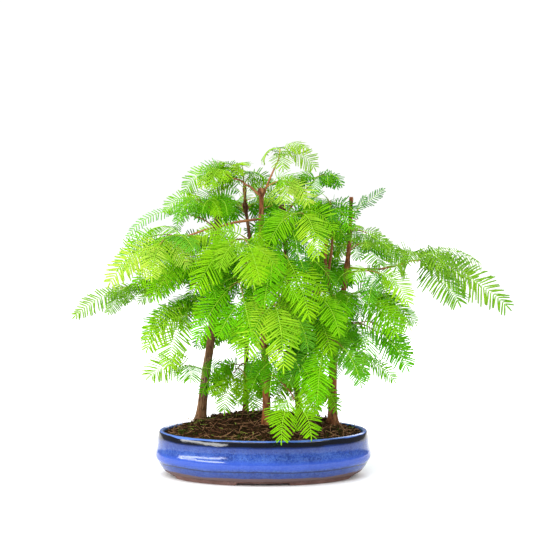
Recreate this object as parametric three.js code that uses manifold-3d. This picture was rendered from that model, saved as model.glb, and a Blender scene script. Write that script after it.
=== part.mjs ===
// Dawn redwood bonsai forest: five slim trunks in one oval glazed pot, with feathery sprays of needles.
// Millimetres, +Z up, +X to the right and +Y to the back as seen from the front. Places are measured
// in the pot's frame, with its origin on the ground under the middle of the pot. At the end the whole
// group is moved so that its own origin lies on the ground under the middle of the plant's box.

import * as THREE from "three";
import { mergeVertices } from "three/addons/utils/BufferGeometryUtils.js";
import Module from "manifold-3d";

const wasm = await Module();
wasm.setup();

// Gaps between pieces, and how finely round shapes are divided
const CLEARANCE = 0.3;
const SEAT_STEP = 0.1;
const MERGE_DISTANCE = 0.0005;
const SMALLEST_DETAIL = 0.12;
const OVAL_SEGMENTS = 32;
const TRUNK_SIDES = 8;
const TRUNK_STEPS = 8;
const LIMB_SIDES = 5;
const LIMB_STEPS = 5;
const STEM_SIDES = 3;
const STEM_STEPS = 4;

// Pot: an oval whose half width is OVAL_DIFFERENCE less than its half length all the way up the wall
const OVAL_DIFFERENCE = 30;
const OVAL_BLEND = 90;
const GLAZE_BOTTOM = 5.5;
const RIM_TOP = 52.5;
const RIM_HALF_LENGTH = 121;
const RIM_WIDTH = 6;
const RIDGE_HEIGHT = 24.5;
const RIDGE_HALF_LENGTH = 125;
const WAIST_HEIGHT = 41;
const WAIST_HALF_LENGTH = 122.2;
const WAIST_HALF_HEIGHT = 4;
const RIDGE_HALF_HEIGHT = 4.2;
const RIDGE_DEPTH = 1.2;
const LOWER_WALL_DROP = 12;
const LOWER_WALL_INSET = 4.5;
const SKIRT_OVERHANG = 4;
const SKIRT_INSET = 8.5;
const SKIRT_HEIGHT = 3;
const LIP_ROUND = 0.7;
const INNER_LIP_HEIGHT = 1.5;
const FLOOR_TOP = 12;
const INNER_WALL_SLOPE = 2;
const INNER_CORNER_WIDTH = 9;
const INNER_CORNER_HEIGHT = 10;

// Unglazed base under the glaze, with a ring below it that is notched into four feet
const BASE_HALF_LENGTH = 109;
const FOOT_WIDTH = 12;
const FOOT_HEIGHT = 3;
const NOTCH_LENGTH = 61;
const NOTCH_WIDTH = 64;

// Soil: level just under the rim, mounded round the trunks
const SOIL_EDGE = 50.2;
const MOUND_HEIGHT = 17;
const MOUND_HALF_LENGTH = 118;
const MOUND_HALF_WIDTH = 88;
const MOUND_MIDDLE_Y = 25;
const MOUND_EDGE_SHARE = 0.28;
const SOIL_RINGS = [0.84, 0.6, 0.3, 0];
const SEAT_SINK = 1;
const SEAT_HEIGHT = 30;

// Root flare of a trunk, and the knobs that old cuts leave on it
const FLARE_SHARE = 0.38;
const FLARE_HEIGHT = 7;
const FLARE_LOBES = 4;
const FLARE_LOBE_SHARE = 0.22;
const FLARE_SECTIONS = [0.5, 1.5];
const KNOB_SPREAD = 4.5;

// Trunks: centre line from the ground up, radius at the bottom and top, and knobs as [height, swelling]
const TRUNKS = [
  {
    name: "left_trunk",
    line: [
      [-74, 32, 57], [-71, 32, 83], [-67, 32, 117], [-62, 31, 149],
      [-56, 30, 204], [-54, 30, 260], [-54, 30, 303],
    ],
    base: 5.9, top: 3, knobs: [[165, 1.2], [257, 0.9], [299, 1.6]],
  },
  {
    name: "back_trunk",
    line: [
      [-21, 52, 62], [-20, 52, 131], [-17, 51, 201],
      [-16, 50, 270], [-21, 50, 310], [-22, 50, 336],
    ],
    base: 3.3, top: 1.7, knobs: [[309, 1.9], [329, 0.8]],
  },
  {
    name: "centre_trunk",
    line: [
      [3, -20, 57], [4, -20, 90], [2, -20, 141], [-1, -20, 204],
      [-3, -20, 262], [-2, -20, 302], [-2, -20, 333],
    ],
    base: 4.8, top: 2.6, knobs: [[298, 0.8], [330, 1.6]],
  },
  {
    name: "inner_trunk",
    line: [
      [43, 40, 62], [37, 40, 117], [33, 41, 165],
      [30, 40, 205], [26, 40, 261], [22, 40, 312],
    ],
    base: 3.6, top: 2.4, knobs: [[235, 0.8], [307, 2]],
  },
  {
    name: "right_trunk",
    line: [
      [81, 9, 53], [81, 9, 98], [82, 9, 132], [89, 9, 193],
      [95, 9, 223], [100, 9, 272], [102, 9, 322],
    ],
    base: 5.5, top: 1.8, knobs: [[188, 1.2], [243, 0.8], [318, 0.6]],
  },
];

// Boughs: each leaves its carrier at a trunk's height or at a share of a limb's length, and bends by bow
const BOUGHS = [
  {
    name: "leader", on: "centre_trunk", at: 319,
    tip: [18, -22, 366], bow: [-1, 0, 1], radii: [1.4, 0.8],
  },
  {
    name: "second_leader", on: "right_trunk", at: 189,
    tip: [73, 0, 274], bow: [-13, -3, -3], radii: [2.5, 1.4],
  },
  {
    name: "fork_stem", on: "second_leader", at: 0.5,
    tip: [81, 8, 292], bow: [3, 0, -3], radii: [1.8, 1.2],
  },
  {
    name: "upper_left_bough", on: "centre_trunk", at: 323,
    tip: [-36, 5, 344], bow: [-4, 0, 9], radii: [1.4, 0.8],
  },
  {
    name: "long_left_bough", on: "centre_trunk", at: 298,
    tip: [-87, -45, 279], bow: [0, 0, 5], radii: [1.6, 0.9],
  },
  {
    name: "lower_left_bough", on: "left_trunk", at: 210,
    tip: [-121, 5, 225], bow: [0, 0, 9], radii: [1.5, 0.8],
  },
  {
    name: "low_front_bough", on: "centre_trunk", at: 120,
    tip: [35, -80, 99], bow: [0, 0, 14], radii: [1.4, 0.8],
  },
  {
    name: "top_right_bough", on: "inner_trunk", at: 296,
    tip: [59, 20, 339], bow: [0, 0, 6], radii: [1.4, 0.8],
  },
  {
    name: "long_right_bough", on: "right_trunk", at: 241,
    tip: [165, -8, 247], bow: [0, 0, -10], radii: [1.4, 0.8],
  },
];

// Masses of foliage: a stem runs from its carrier to its end, bent upwards by arch, and bears sprays of
// the given length whose ribs come down to the angle fall below level. A sparse mass has short needles
const mass = (name, on, at, end, arch, sprays, length, fall, tone, needles = 1) => (
  { name, on, at, end, arch, sprays, length, fall, tone, needles }
);
const MASSES = [
  mass("leader_sprays", "leader", 1, [19.6, -22, 378], 0, 3, 44, 62, "outer_young", 1.2),
  mass("leader_side_sprays", "leader", 0.3, [28, -34, 340], 8, 4, 46, 78, "young", 1.25),
  mass("upper_left_sprays", "upper_left_bough", 1, [-52, 5, 352], 4, 4, 56, 70, "young"),
  mass("left_top_sprays", "left_trunk", 297, [-76, -12, 320], 6, 4, 51, 66, "fresh", 0.95),
  mass("left_arching_sprays", "left_trunk", 284, [-96, 14, 303], 8, 2, 82, 60, "deep", 0.4),
  mass("long_left_sprays", "long_left_bough", 1, [-116, -52, 275], 5, 4, 80, 55, "young"),
  mass("far_left_sprays", "lower_left_bough", 1, [-165, 0, 216], 3, 4, 62, 42, "outer", 0.8),
  mass("left_middle_sprays", "left_trunk", 235, [-90, -35, 249], 10, 3, 78, 56, "fresh", 1.05),
  mass("lower_left_sprays", "left_trunk", 178, [-86, -30, 187], 10, 3, 80, 70, "fresh", 1.05),
  mass("left_low_twig", "left_trunk", 117, [-90, 8, 126], 2, 2, 58, 28, "fresh", 1.25),
  mass("back_trunk_top_sprays", "back_trunk", 315, [-24, 27, 356], 6, 4, 54, 60, "young"),
  mass("back_trunk_low_twig", "back_trunk", 124, [-34, 10, 117], 6, 4, 57, 78, "fresh", 1.05),
  mass("upper_right_sprays", "inner_trunk", 285, [46, -40, 304], 14, 3, 76, 62, "young", 1.05),
  mass("front_left_sprays", "centre_trunk", 264, [-36, -66, 273], 14, 4, 84, 58, "bright", 1.05),
  mass("front_right_sprays", "centre_trunk", 268, [27, -74, 256], 16, 3, 82, 54, "green", 1.05),
  mass("front_middle_sprays", "centre_trunk", 218, [14, -96, 203], 16, 3, 78, 78, "bright", 1.1),
  mass("low_front_sprays", "low_front_bough", 1, [31, -91, 98], 2, 2, 62, 88, "bright", 1.1),
  mass("inner_left_sprays", "centre_trunk", 231, [-38, -62, 221], 12, 3, 76, 65, "green"),
  mass("low_middle_sprays", "centre_trunk", 147, [36, -62, 143], 10, 3, 66, 75, "green"),
  mass("top_right_sprays", "top_right_bough", 1, [59, 8, 344], 3, 4, 42, 70, "green", 0.85),
  mass("inner_front_sprays", "inner_trunk", 194, [55, -33, 196], 12, 3, 76, 65, "green"),
  mass("inner_low_twig", "inner_trunk", 112, [48, -10, 114], 8, 4, 56, 76, "bright"),
  mass("top_twig", "right_trunk", 296, [111, 6, 309], 2, 1, 42, -38, "deep", 0.6),
  mass("right_upper_sprays", "right_trunk", 283, [119, -10, 281], 4, 3, 44, 34, "outer", 0.85),
  mass("long_right_sprays", "long_right_bough", 1, [183, -13, 249], 3, 3, 119, 36, "outer", 1.15),
  mass("right_hanging_sprays", "right_trunk", 232, [133, -34, 236], 8, 3, 62, 62, "young"),
  mass("right_middle_sprays", "right_trunk", 202, [114, -22, 206], 9, 3, 74, 48, "fresh", 1.1),
  mass("right_lower_sprays", "right_trunk", 175, [128, -34, 171], 9, 3, 70, 52, "green", 1.1),
  mass("right_low_twig", "right_trunk", 130, [118, -8, 132], 3, 2, 46, 50, "fresh", 0.9),
  mass("right_front_sprays", "right_trunk", 159, [69, -68, 156], 12, 4, 76, 70, "green"),
  mass("right_front_high_sprays", "right_trunk", 208, [53, -58, 211], 12, 3, 76, 65, "green"),
  mass("fork_sprays", "fork_stem", 1, [77, 9, 309], 2, 3, 58, 66, "green"),
  mass("back_left_high_sprays", "left_trunk", 258, [-90, 98, 268], 12, 3, 66, 50, "green"),
  mass("back_left_sprays", "left_trunk", 220, [-102, 94, 231], 12, 3, 68, 50, "fresh"),
  mass("back_left_low_sprays", "left_trunk", 172, [-84, 97, 202], 12, 3, 56, 56, "green"),
  mass("back_high_sprays", "back_trunk", 292, [-32, 118, 314], 12, 3, 72, 50, "fresh"),
  mass("back_middle_sprays", "back_trunk", 231, [-30, 130, 246], 12, 3, 80, 60, "green"),
  mass("back_low_sprays", "back_trunk", 154, [-27, 118, 163], 12, 3, 61, 66, "fresh"),
  mass("back_right_high_sprays", "inner_trunk", 276, [59, 116, 292], 12, 3, 72, 50, "green"),
  mass("back_right_sprays", "inner_trunk", 218, [57, 128, 241], 12, 3, 80, 62, "green"),
  mass("back_right_low_sprays", "inner_trunk", 155, [71, 118, 166], 12, 3, 72, 70, "fresh"),
  mass("right_back_high_sprays", "right_trunk", 258, [124, 84, 262], 10, 3, 66, 45, "fresh"),
  mass("right_back_sprays", "right_trunk", 200, [130, 82, 203], 12, 3, 70, 58, "fresh"),
];

// Sprays: a rib with needles in two ranks, here as a toothed blade
const STEM_RADII = [1.4, 1];
const SPRAY_FAN = 58;
const SPRAY_FAN_SPREAD = 9;
const STEEP_STEM = 55;
const ROUND_STEM = 137.5;
const FIRST_SPRAY = 0.9;
const LAST_SPRAY = 0.42;
const SIDE_SPRAY_SHARE = 0.86;
const LENGTH_SPREAD = 5;
const ANGLE_SPREAD = 7;
const STEEPEST_START = 38;
const START_ON_STEEP_STEM = 8;
const BEND_EASE = 0.8;
const FACE_TILT = 50;
const FACE_SPREAD = 22;
const CROWN_MIDDLE_Y = 15;
const ROOT_DEPTH = 0.9;
const TIP_ROOT_DEPTH = 4;
const BARE_FOOT = 9;
const TOOTH_SPACING = 12;
const RIB_HALF_WIDTH = 1.3;
const RIB_THICKNESS = 1.1;
const NEEDLE_LENGTH = 21;
const FULL_SPRAY_LENGTH = 80;
const ROOT_NEEDLE_SHARE = 0.5;
const WIDENING = 2;
const NARROWS_FROM = 0.45;
const NARROWS_BY = 0.55;
const NARROWING_EASE = 1.5;
const SWEEP_AT_ROOT = 74;
const SWEEP_AT_TIP = 48;
const NEEDLE_DROOP = 0.2;
const TURNS_TO_TRY = [0, 14, -14, 28, -28];

// Seeded rule of the sprays: each mass takes the next multiple of the step as its seed
const SEED_STEP = 104729;
const RULE_FACTOR = 1664525;
const RULE_ADDEND = 1013904223;
const RULE_RANGE = 2 ** 32;

const COLOURS = {
  glaze: { color: 0x2f55c8, roughness: 0.15 },
  clay: { color: 0x6b4038, roughness: 0.85 },
  soil: { color: 0x3a2a1c, roughness: 0.95 },
  bark: { color: 0x76503a, roughness: 0.85 },
  twig: { color: 0xa85a3c, roughness: 0.7 },
  outer_young: { color: 0xaed153, roughness: 0.55 },
  outer: { color: 0x96c74a, roughness: 0.55 },
  bright: { color: 0x9fe03c, roughness: 0.55 },
  young: { color: 0xb6e04a, roughness: 0.55 },
  fresh: { color: 0x8ed335, roughness: 0.55 },
  green: { color: 0x62c22c, roughness: 0.55 },
  deep: { color: 0x48a524, roughness: 0.55 },
};

const UP = new THREE.Vector3(0, 0, 1);

// Turns a closed geometry into a solid that can be cut and joined
function toSolid(geometry) {
  const bare = new THREE.BufferGeometry();
  bare.setAttribute("position", geometry.getAttribute("position"));
  bare.setIndex(geometry.getIndex());
  const merged = mergeVertices(bare, MERGE_DISTANCE);
  const index = merged.getIndex().array;
  const corners = [];
  for (let i = 0; i < index.length; i += 3) {
    const [a, b, c] = index.slice(i, i + 3);
    if (a !== b && b !== c && c !== a) {
      corners.push(a, b, c);
    }
  }
  const mesh = new wasm.Mesh({
    numProp: 3,
    vertProperties: Float32Array.from(merged.getAttribute("position").array),
    triVerts: Uint32Array.from(corners),
  });
  return new wasm.Manifold(mesh);
}

// Turns a solid into a named mesh with its own material
function toMesh(name, solid, look) {
  const { vertProperties, triVerts } = solid.getMesh();
  const geometry = new THREE.BufferGeometry();
  geometry.setAttribute("position", new THREE.BufferAttribute(vertProperties, 3));
  geometry.setIndex(new THREE.BufferAttribute(triVerts, 1));
  geometry.computeVertexNormals();
  const mesh = new THREE.Mesh(geometry, new THREE.MeshStandardMaterial({ ...COLOURS[look], metalness: 0 }));
  mesh.name = name;
  return mesh;
}

// Moves every vertex of a geometry by a rule
function reshape(geometry, rule) {
  const position = geometry.getAttribute("position");
  const point = new THREE.Vector3();
  for (let i = 0; i < position.count; i += 1) {
    point.fromBufferAttribute(position, i);
    rule(point);
    position.setXYZ(i, point.x, point.y, point.z);
  }
  return geometry;
}

// Half width of the oval whose half length is given
function ovalHalfWidth(halfLength) {
  return halfLength - OVAL_DIFFERENCE * Math.min(1, halfLength / OVAL_BLEND);
}

// Turns a profile of [half length, height] pairs into an oval body with its axis upright
function ovalLathe(profile) {
  const points = profile.map(([halfLength, height]) => new THREE.Vector2(halfLength, height));
  const geometry = new THREE.LatheGeometry(points, OVAL_SEGMENTS).rotateX(Math.PI / 2);
  return reshape(geometry, (point) => {
    const halfLength = Math.hypot(point.x, point.y);
    point.y *= halfLength > 0 ? ovalHalfWidth(halfLength) / halfLength : 1;
  });
}

// Height of the soil's surface: level at the pot's wall and mounded further in
function soilHeight(x, y) {
  const wall = RIM_HALF_LENGTH - RIM_WIDTH;
  const toWall = 1 - Math.hypot(x / wall, y / ovalHalfWidth(wall));
  const edge = THREE.MathUtils.clamp(toWall / MOUND_EDGE_SHARE, 0, 1);
  const dome = 1 - (x / MOUND_HALF_LENGTH) ** 2 - ((y - MOUND_MIDDLE_Y) / MOUND_HALF_WIDTH) ** 2;
  return SOIL_EDGE + MOUND_HEIGHT * Math.max(0, dome) * edge;
}

function makePot() {
  const inside = RIM_HALF_LENGTH - RIM_WIDTH;
  return toSolid(ovalLathe([
    [0, GLAZE_BOTTOM],
    [BASE_HALF_LENGTH + SKIRT_OVERHANG, GLAZE_BOTTOM],
    [RIDGE_HALF_LENGTH - SKIRT_INSET, GLAZE_BOTTOM + SKIRT_HEIGHT],
    [RIDGE_HALF_LENGTH - LOWER_WALL_INSET, RIDGE_HEIGHT - LOWER_WALL_DROP],
    [RIDGE_HALF_LENGTH - RIDGE_DEPTH, RIDGE_HEIGHT - RIDGE_HALF_HEIGHT],
    [RIDGE_HALF_LENGTH, RIDGE_HEIGHT],
    [RIDGE_HALF_LENGTH - RIDGE_DEPTH, RIDGE_HEIGHT + RIDGE_HALF_HEIGHT],
    [WAIST_HALF_LENGTH, WAIST_HEIGHT - WAIST_HALF_HEIGHT],
    [WAIST_HALF_LENGTH, WAIST_HEIGHT + WAIST_HALF_HEIGHT],
    [RIM_HALF_LENGTH, RIM_TOP - 2 * LIP_ROUND],
    [RIM_HALF_LENGTH - LIP_ROUND, RIM_TOP],
    [inside + LIP_ROUND, RIM_TOP],
    [inside, RIM_TOP - INNER_LIP_HEIGHT],
    [inside - INNER_WALL_SLOPE, FLOOR_TOP + INNER_CORNER_HEIGHT],
    [inside - INNER_CORNER_WIDTH, FLOOR_TOP],
    [0, FLOOR_TOP],
  ]));
}

function makeBase() {
  const inner = BASE_HALF_LENGTH - FOOT_WIDTH;
  const slab = toSolid(ovalLathe([
    [0, FOOT_HEIGHT],
    [inner, FOOT_HEIGHT],
    [inner, 0],
    [BASE_HALF_LENGTH - 1, 0],
    [BASE_HALF_LENGTH, 1],
    [BASE_HALF_LENGTH, GLAZE_BOTTOM],
    [0, GLAZE_BOTTOM],
  ]));
  const across = 3 * BASE_HALF_LENGTH;
  const frontAndBack = toSolid(new THREE.BoxGeometry(NOTCH_LENGTH, across, 2 * FOOT_HEIGHT));
  const ends = toSolid(new THREE.BoxGeometry(across, NOTCH_WIDTH, 2 * FOOT_HEIGHT));
  return slab.subtract(frontAndBack).subtract(ends);
}

// The soil fills the pot and has a flat seat for each trunk
function makeSoil(trunks) {
  const inside = RIM_HALF_LENGTH - RIM_WIDTH - CLEARANCE;
  const bottom = FLOOR_TOP + CLEARANCE;
  const geometry = ovalLathe([
    [0, bottom],
    [inside - INNER_CORNER_WIDTH - CLEARANCE, bottom],
    [inside - INNER_WALL_SLOPE, FLOOR_TOP + INNER_CORNER_HEIGHT],
    [inside - CLEARANCE, SOIL_EDGE],
    ...SOIL_RINGS.map((share) => [inside * share, SOIL_EDGE]),
  ]);
  reshape(geometry, (point) => {
    if (point.z > SOIL_EDGE - CLEARANCE) {
      point.z = soilHeight(point.x, point.y);
    }
  });
  let soil = toSolid(geometry);
  for (const trunk of trunks) {
    const [x, y, ground] = trunk.line[0];
    const radius = trunk.radiusAt(ground) * (1 + FLARE_LOBE_SHARE) + CLEARANCE;
    const seat = new THREE.CylinderGeometry(radius, radius, SEAT_HEIGHT, TRUNK_SIDES);
    seat.rotateX(Math.PI / 2).translate(x, y, ground + SEAT_HEIGHT / 2);
    soil = soil.subtract(toSolid(seat));
  }
  return soil;
}

// The point of a trunk's centre line at a height, on a smooth curve through the listed points
function centreAt(line, height) {
  const last = line.length - 1;
  let i = 0;
  while (i < last - 1 && height > line[i + 1][2]) {
    i += 1;
  }
  const step = line[i + 1][2] - line[i][2];
  const t = (height - line[i][2]) / step;
  const slope = (k, axis) => {
    const below = line[Math.max(0, k - 1)];
    const above = line[Math.min(last, k + 1)];
    return (above[axis] - below[axis]) / (above[2] - below[2]);
  };
  const [x, y] = [0, 1].map((axis) => {
    const rise = 3 * t ** 2 - 2 * t ** 3;
    const start = (t ** 3 - 2 * t ** 2 + t) * step * slope(i, axis);
    const end = (t ** 3 - t ** 2) * step * slope(i + 1, axis);
    return line[i][axis] + (line[i + 1][axis] - line[i][axis]) * rise + start + end;
  });
  return new THREE.Vector3(x, y, height);
}

// Builds a trunk from its flat foot in the soil to its cut top
function makeTrunk(sizes) {
  const [baseX, baseY] = sizes.line[0];
  const ground = Math.floor(soilHeight(baseX, baseY) - SEAT_SINK);
  const line = [[baseX, baseY, ground], ...sizes.line.slice(1)];
  const top = line[line.length - 1][2];
  const fade = (height) => Math.exp((ground - height) / FLARE_HEIGHT);
  const radiusAt = (height) => {
    const taper = THREE.MathUtils.mapLinear(height, ground, top, sizes.base, sizes.top);
    let radius = taper * (1 + FLARE_SHARE * fade(height));
    for (const [at, swelling] of sizes.knobs) {
      radius += swelling * Math.exp(-(((height - at) / KNOB_SPREAD) ** 2));
    }
    return radius;
  };
  const atFlare = FLARE_SECTIONS.map((share) => ground + share * FLARE_HEIGHT);
  const atKnobs = sizes.knobs.flatMap(([at]) => [at - KNOB_SPREAD, at, at + KNOB_SPREAD]);
  const marked = [ground, ...atFlare, ...atKnobs.filter((height) => height < top - 1), top];
  const even = Array.from({ length: TRUNK_STEPS }, (_, k) => ground + ((top - ground) * k) / TRUNK_STEPS);
  const between = even.filter((height) => marked.every((other) => Math.abs(other - height) > KNOB_SPREAD));
  const sections = [...marked, ...between].sort((a, b) => a - b);
  const geometry = new THREE.CylinderGeometry(1, 1, 1, TRUNK_SIDES, sections.length - 1);
  reshape(geometry, (point) => {
    const height = sections[Math.round((point.y + 0.5) * (sections.length - 1))];
    const centre = centreAt(line, height);
    const angle = Math.atan2(-point.z, point.x);
    const lobe = FLARE_LOBE_SHARE * Math.cos(FLARE_LOBES * angle + baseX) * fade(height);
    const radius = radiusAt(height) * (1 + lobe) * Math.hypot(point.x, point.z);
    point.set(centre.x + radius * Math.cos(angle), centre.y + radius * Math.sin(angle), height);
  });
  return { name: sizes.name, look: "bark", line, radiusAt, solid: toSolid(geometry) };
}

// A tapering tube along a curve, from an offset along it to its end
function makeTube(curve, radii, sides, steps, offset) {
  const start = offset / curve.getLength();
  const frames = [];
  const normal = new THREE.Vector3(1, 0.3, 0.2);
  for (let k = 0; k <= steps; k += 1) {
    const u = THREE.MathUtils.lerp(start, 1, k / steps);
    const tangent = curve.getTangentAt(u);
    normal.addScaledVector(tangent, -normal.dot(tangent)).normalize();
    frames.push({
      centre: curve.getPointAt(u),
      normal: normal.clone(),
      side: new THREE.Vector3().crossVectors(normal, tangent),
      radius: THREE.MathUtils.lerp(radii[0], radii[1], u),
    });
  }
  const geometry = new THREE.CylinderGeometry(1, 1, 1, sides, steps);
  reshape(geometry, (point) => {
    const frame = frames[Math.round((point.y + 0.5) * steps)];
    const { x, z } = point;
    point.copy(frame.centre).addScaledVector(frame.normal, x * frame.radius);
    point.addScaledVector(frame.side, z * frame.radius);
  });
  return toSolid(geometry);
}

function isClear(solid, others) {
  return others.every((other) => solid.minGap(other, 2 * CLEARANCE) >= CLEARANCE);
}

// Where a limb or stem starts: on a trunk's centre line at a height, or along another limb
function startOn(carrier, at) {
  return carrier.curve ? carrier.curve.getPointAt(at) : centreAt(carrier.line, at);
}

// Builds a tube that starts just clear of what carries it
function seatTube(curve, radii, sides, steps, carrier) {
  let offset = CLEARANCE;
  let solid = makeTube(curve, radii, sides, steps, offset);
  while (!isClear(solid, [carrier.solid])) {
    offset += SEAT_STEP;
    solid = makeTube(curve, radii, sides, steps, offset);
  }
  return solid;
}

function makeBough(sizes, limbs) {
  const carrier = limbs.get(sizes.on);
  const start = startOn(carrier, sizes.at);
  const tip = new THREE.Vector3(...sizes.tip);
  const bend = start.clone().lerp(tip, 0.5).add(new THREE.Vector3(...sizes.bow));
  const curve = new THREE.QuadraticBezierCurve3(start, bend, tip);
  const solid = seatTube(curve, sizes.radii, LIMB_SIDES, LIMB_STEPS, carrier);
  return { name: sizes.name, look: "twig", curve, solid };
}

// Deals numbers between two limits by a seeded rule
function makeDealer(seed) {
  let state = seed >>> 0;
  return (low, high) => {
    state = (Math.imul(state, RULE_FACTOR) + RULE_ADDEND) >>> 0;
    return low + (high - low) * (state / RULE_RANGE);
  };
}

// A direction from its heading, anticlockwise from +X as seen from above, and its angle above level
function direction(heading, elevation) {
  const [turn, climb] = [heading, elevation].map(THREE.MathUtils.degToRad);
  const level = new THREE.Vector3(Math.cos(turn), Math.sin(turn), 0);
  return level.multiplyScalar(Math.cos(climb)).addScaledVector(UP, Math.sin(climb));
}

// The sprays on a stem: one at its tip, and the others at alternate sides back along it, or all round a
// steep stem
function listSprays(sizes, curve, deal) {
  const firstSide = deal(0, 1) < 0.5 ? -1 : 1;
  const sprays = [];
  for (let k = 0; k < sizes.sprays; k += 1) {
    const side = k === 0 ? 0 : firstSide * (k % 2 === 0 ? 1 : -1);
    const spacing = (FIRST_SPRAY - LAST_SPRAY) / Math.max(1, sizes.sprays - 2);
    const u = k === 0 ? 1 - TIP_ROOT_DEPTH / curve.getLength() : FIRST_SPRAY - spacing * (k - 1);
    const tangent = curve.getTangentAt(u);
    const climb = THREE.MathUtils.radToDeg(Math.asin(tangent.z));
    const turn = THREE.MathUtils.radToDeg(Math.atan2(tangent.y, tangent.x));
    const sideways = side * (SPRAY_FAN + deal(-SPRAY_FAN_SPREAD, SPRAY_FAN_SPREAD));
    const fan = climb > STEEP_STEM ? k * ROUND_STEM : sideways;
    const steepness = climb + deal(-ANGLE_SPREAD, ANGLE_SPREAD);
    const steepest = climb > STEEP_STEM ? START_ON_STEEP_STEM : STEEPEST_START;
    sprays.push({
      base: curve.getPointAt(u),
      heading: turn + fan,
      rise: THREE.MathUtils.clamp(steepness, -STEEPEST_START, steepest),
      fall: sizes.fall + deal(-ANGLE_SPREAD, ANGLE_SPREAD),
      length: sizes.length * (side === 0 ? 1 : SIDE_SPRAY_SHARE) + deal(-LENGTH_SPREAD, LENGTH_SPREAD),
      tilt: FACE_TILT + deal(-FACE_SPREAD, FACE_SPREAD),
      facing: sizes.end[1] < CROWN_MIDDLE_Y ? -1 : 1,
      needles: sizes.needles,
    });
  }
  return sprays;
}

// Needle length along a spray: short at the root, full in the middle and narrowing to the tip
function needleLength(share, length) {
  const pastMiddle = Math.max(0, (share - NARROWS_FROM) / (1 - NARROWS_FROM));
  const narrowed = 1 - NARROWS_BY * pastMiddle ** NARROWING_EASE;
  const widened = Math.min(1, ROOT_NEEDLE_SHARE + WIDENING * share);
  return NEEDLE_LENGTH * Math.sqrt(Math.min(1, length / FULL_SPRAY_LENGTH)) * widened * narrowed;
}

// The toothed blade of one spray, turned by an angle from its listed heading. Its rib has a ridge on top
// and a flat underside, and each tooth is drawn out of the rib between two stations
function makeBlade(spray, turn) {
  const teeth = Math.round((spray.length - BARE_FOOT) / TOOTH_SPACING);
  const step = (spray.length - BARE_FOOT) / teeth;
  const tilt = THREE.MathUtils.degToRad(spray.tilt);
  const face = new THREE.Vector3(0, spray.facing * Math.sin(tilt), Math.cos(tilt));
  const frameAt = (share) => {
    const elevation = THREE.MathUtils.lerp(spray.rise, -spray.fall, share ** BEND_EASE);
    const along = direction(spray.heading + turn, elevation);
    const side = new THREE.Vector3().crossVectors(face, along).normalize();
    return { along, side, normal: new THREE.Vector3().crossVectors(along, side) };
  };
  const positions = [];
  const add = (point) => positions.push(point.x, point.y, point.z) / 3 - 1;
  const offset = (point, axis, distance) => point.clone().addScaledVector(axis, distance);
  const rib = offset(spray.base, frameAt(0).along, -ROOT_DEPTH);
  const addRing = (share) => {
    const frame = frameAt(share);
    const half = RIB_HALF_WIDTH * (1 - share / 2);
    const sunk = offset(rib, frame.normal, -RIB_THICKNESS / 2);
    return [
      add(offset(rib, frame.normal, RIB_THICKNESS / 2)),
      add(offset(sunk, frame.side, half)),
      add(offset(sunk, frame.side, -half)),
    ];
  };
  const rings = [addRing(0)];
  rib.addScaledVector(frameAt(0).along, BARE_FOOT);
  rings.push(addRing(0));
  const tips = [];
  for (let k = 0; k < teeth; k += 1) {
    const share = (k + 0.5) / teeth;
    const frame = frameAt(share);
    const length = spray.needles * needleLength(share, spray.length);
    const sweep = THREE.MathUtils.degToRad(THREE.MathUtils.lerp(SWEEP_AT_ROOT, SWEEP_AT_TIP, share));
    const root = offset(rib, frame.along, step / 2 + length * Math.cos(sweep));
    root.addScaledVector(frame.normal, -length * NEEDLE_DROOP);
    tips.push([1, -1].map((hand) => add(offset(root, frame.side, hand * length * Math.sin(sweep)))));
    rib.addScaledVector(frame.along, step);
    rings.push(addRing((k + 1) / teeth));
  }
  const end = add(offset(rib, frameAt(1).along, step));
  const faces = [];
  const [[rootTop, rootLeft, rootRight], [top, left, right]] = rings;
  faces.push(rootTop, rootLeft, rootRight, rootTop, left, rootLeft, rootTop, top, left);
  faces.push(rootTop, right, top, rootTop, rootRight, right);
  faces.push(rootLeft, right, rootRight, rootLeft, left, right);
  tips.forEach(([leftTip, rightTip], k) => {
    const [topA, leftA, rightA] = rings[k + 1];
    const [topB, leftB, rightB] = rings[k + 2];
    faces.push(topA, topB, leftTip, topB, leftB, leftTip);
    faces.push(topA, leftTip, leftA, leftA, leftTip, leftB);
    faces.push(topA, rightTip, topB, topB, rightTip, rightB);
    faces.push(topA, rightA, rightTip, rightA, rightB, rightTip);
    faces.push(leftA, rightB, rightA, leftA, leftB, rightB);
  });
  const [lastTop, lastLeft, lastRight] = rings[rings.length - 1];
  faces.push(lastTop, end, lastLeft, lastLeft, end, lastRight, lastRight, end, lastTop);
  const geometry = new THREE.BufferGeometry();
  geometry.setAttribute("position", new THREE.Float32BufferAttribute(positions, 3));
  geometry.setIndex(faces);
  return toSolid(geometry);
}

// The bare stem of a mass of foliage
function makeStem(sizes, limbs) {
  const carrier = limbs.get(sizes.on);
  const start = startOn(carrier, sizes.at);
  const end = new THREE.Vector3(...sizes.end);
  const bend = start.clone().lerp(end, 0.5).addScaledVector(UP, sizes.arch);
  const curve = new THREE.QuadraticBezierCurve3(start, bend, end);
  const solid = seatTube(curve, STEM_RADII, STEM_SIDES, STEM_STEPS, carrier);
  return { name: sizes.name, look: sizes.tone, sizes, curve, solid };
}

// Joins to a stem every spray that has room among the other pieces
function addSprays(stem, seed, pieces) {
  const others = pieces.filter((piece) => piece !== stem).map((piece) => piece.solid);
  for (const spray of listSprays(stem.sizes, stem.curve, makeDealer(seed))) {
    const blades = TURNS_TO_TRY.map((turn) => makeBlade(spray, turn));
    const fitting = blades.find((blade) => isClear(blade, others));
    if (fitting) {
      stem.solid = stem.solid.add(fitting);
    }
  }
  stem.solid = stem.solid.simplify(SMALLEST_DETAIL);
}

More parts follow.
